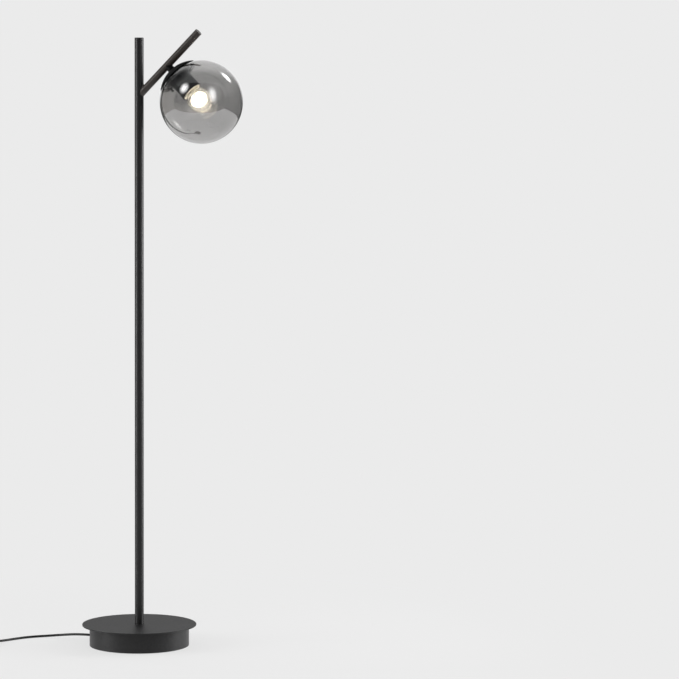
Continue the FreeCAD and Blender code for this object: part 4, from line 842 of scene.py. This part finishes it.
def make_room():
    """Five walls and a ceiling, each wall from its low grey to its high grey between two heights."""
    walls = {
        "front_left": (FRONT_LEFT, FRONT_MIDDLE, "#a3a09b", "#4c4b4b", 0.0, 1.5),
        "front_right": (FRONT_MIDDLE, FRONT_RIGHT, "#8b8a87", "#4c4b4b", 0.0, 1.5),
        "right": (FRONT_RIGHT, BACK_RIGHT, "#5a5b5c", "#8e8f8f", 0.6, 4.4),
        "back": (BACK_RIGHT, BACK_LEFT, "#4c4c4c", "#ebebeb", 1.0, 1.8),
        "left": (BACK_LEFT, FRONT_LEFT, "#aaa7a3", "#626160", 2.0, 3.4),
    }
    for name, (start, end, *tones) in walls.items():
        corners = [(*start, 0), (*end, 0), (*end, ROOM_HEIGHT), (*start, ROOM_HEIGHT)]
        make_wall(name, corners, tones)
    ceiling = [(*spot, ROOM_HEIGHT)
               for spot in (FRONT_LEFT, FRONT_MIDDLE, FRONT_RIGHT, BACK_RIGHT, BACK_LEFT)]
    make_wall("ceiling", ceiling, ("#868787", "#868787", 0.0, 1.0))


CARD_HALF = 0.5


def glow_card(name, way, distance, wide, tall, radiance, turn=0.0):
    """A soft round light that reflections show, seen from the globe along way.

    With hardly any radiance it is a black flag, which darkens what lies behind it.
    """
    middle = globe_middle + spot_at(*way).normalized() * distance
    facing = (globe_middle - middle).to_track_quat("Z", "Y").to_matrix().to_4x4()
    shape = bmesh.new()
    bmesh.ops.create_grid(shape, x_segments=2, y_segments=2, size=CARD_HALF)
    mesh = bpy.data.meshes.new(name)
    shape.to_mesh(mesh)
    shape.free()
    material, tree, place, mirrored = mirrored_material(name + "_cloth")
    away = add_node(tree, "ShaderNodeVectorMath", links={0: place}, operation="LENGTH")
    share = add_node(tree, "ShaderNodeMapRange", {"From Min": CARD_HALF, "From Max": 0.0},
                     {"Value": away.outputs["Value"]}, interpolation_type="SMOOTHERSTEP")
    seen = add_node(tree, "ShaderNodeMath", links={0: share.outputs["Result"], 1: mirrored},
                    operation="MULTIPLY")
    glow = add_node(tree, "ShaderNodeEmission", {"Strength": radiance})
    finish_mirrored(tree, seen.outputs["Value"], glow)
    card = keep(name, mesh, material)
    card.matrix_world = (Matrix.Translation(middle) @ facing @ Matrix.Rotation(turn, 4, "Z")
                         @ Matrix.Diagonal((wide, tall, 1, 1)))
    only_reflected(card)


# What the world gives to matt surfaces, from just under the horizon up to nearly overhead.
LOW_LIGHT, HIGH_LIGHT = 0.33, 0.55
LIGHT_FROM, LIGHT_TO = -0.1, 0.9


def make_world():
    """The background is flat and pale; what lights the lamp is darker, and brighter from above."""
    world = bpy.data.worlds.new("studio")
    scene.world = world
    world.use_nodes = True
    tree = world.node_tree
    tree.nodes.clear()
    way = add_node(tree, "ShaderNodeTexCoord").outputs["Generated"]
    split = add_node(tree, "ShaderNodeSeparateXYZ", links={"Vector": way})
    share = add_node(tree, "ShaderNodeMapRange", {
        "From Min": LIGHT_FROM, "From Max": LIGHT_TO, "To Min": LOW_LIGHT, "To Max": HIGH_LIGHT,
    }, {"Value": split.outputs["Z"]})
    light = add_node(tree, "ShaderNodeBackground", {"Color": (1, 1, 1, 1)},
                     {"Strength": share.outputs["Result"]})
    plain = add_node(tree, "ShaderNodeBackground", {"Color": BACKGROUND, "Strength": 1.0})
    path = add_node(tree, "ShaderNodeLightPath")
    seen = path.outputs["Is Camera Ray"]
    for kind in ("Is Transmission Ray", "Is Glossy Ray"):
        seen = add_node(tree, "ShaderNodeMath", links={0: seen, 1: path.outputs[kind]},
                        operation="MAXIMUM").outputs["Value"]
    both = add_node(tree, "ShaderNodeMixShader", links={
        0: seen, 1: light.outputs["Background"], 2: plain.outputs["Background"]})
    add_node(tree, "ShaderNodeOutputWorld", links={"Surface": both.outputs["Shader"]})


def all_but(*glasses):
    """A collection for lamps that light everything but the given glasses, which mirror the room."""
    made = bpy.data.collections.new("all_but_" + "_".join(glasses))
    for name in glasses:
        made.objects.link(bpy.data.objects[name])
    for entry in made.collection_objects:
        entry.light_linking.link_state = "EXCLUDE"
    return made


SOFTBOX_AIM = Vector((0, 0, 0.6))


def softbox(name, across, towards, height, wide, tall, radiance):
    """A soft light in the studio, turned to the middle of the post."""
    light = bpy.data.lights.new(name, "AREA")
    light.shape = "RECTANGLE"
    light.size = wide
    light.size_y = tall
    light.energy = radiance * math.pi * wide * tall
    thing = bpy.data.objects.new(name, light)
    spot = spot_at(across, towards, height)
    thing.location = spot
    thing.rotation_euler = (spot - SOFTBOX_AIM).to_track_quat("Z", "Y").to_euler()
    thing.light_linking.receiver_collection = all_but("smoked_globe", "round_bulb")
    scene.collection.objects.link(thing)


def bulb_light(watts, radius):
    """The light that the lit rods throw on the holder and the disc round them."""
    light = bpy.data.lights.new("bulb_light", "POINT")
    light.energy = watts
    light.shadow_soft_size = radius
    light.color = linear("#fff9f0")[:3]
    thing = bpy.data.objects.new("bulb_light", light)
    thing.location = head @ Vector((0, 0, BULB_MIDDLE * MM))
    thing.light_linking.receiver_collection = all_but("smoked_globe")
    scene.collection.objects.link(thing)


globe_middle = head @ Vector((0, 0, GLOBE_MIDDLE * MM))
make_floor()
make_room()
make_world()
# Each card's way from the globe (right, towards the camera, up), its distance, width and height in
# metres, its radiance and its turn.
glow_card("window_glow", (0.610, -0.380, 0.610), 3.0, 1.1, 1.5, 12.0, math.radians(25))
glow_card("right_umbrella", (0.483, 0.809, 0.335), 2.1, 1.2, 2.2, 3.4)
glow_card("right_haze", (0.560, 0.750, 0.360), 2.3, 2.4, 3.8, 0.45)
glow_card("left_umbrella", (-0.706, 0.442, 0.555), 2.6, 1.5, 1.7, 5.0)
glow_card("ceiling_glow", (0.05, -0.588, 0.809), 2.0, 5.0, 5.0, 0.9)
glow_card("black_flag", (-0.620, -0.310, 0.720), 1.6, 1.9, 1.9, 0.04)
# Each box's place (right, towards the camera, up), its width and height in metres and its radiance.
softbox("softbox_right", 3.0, -0.3, 1.1, 1.6, 2.2, 9.5)
softbox("softbox_left", -2.9, 0.6, 1.1, 1.0, 2.2, 10.0)
bulb_light(0.13, 12 * MM)
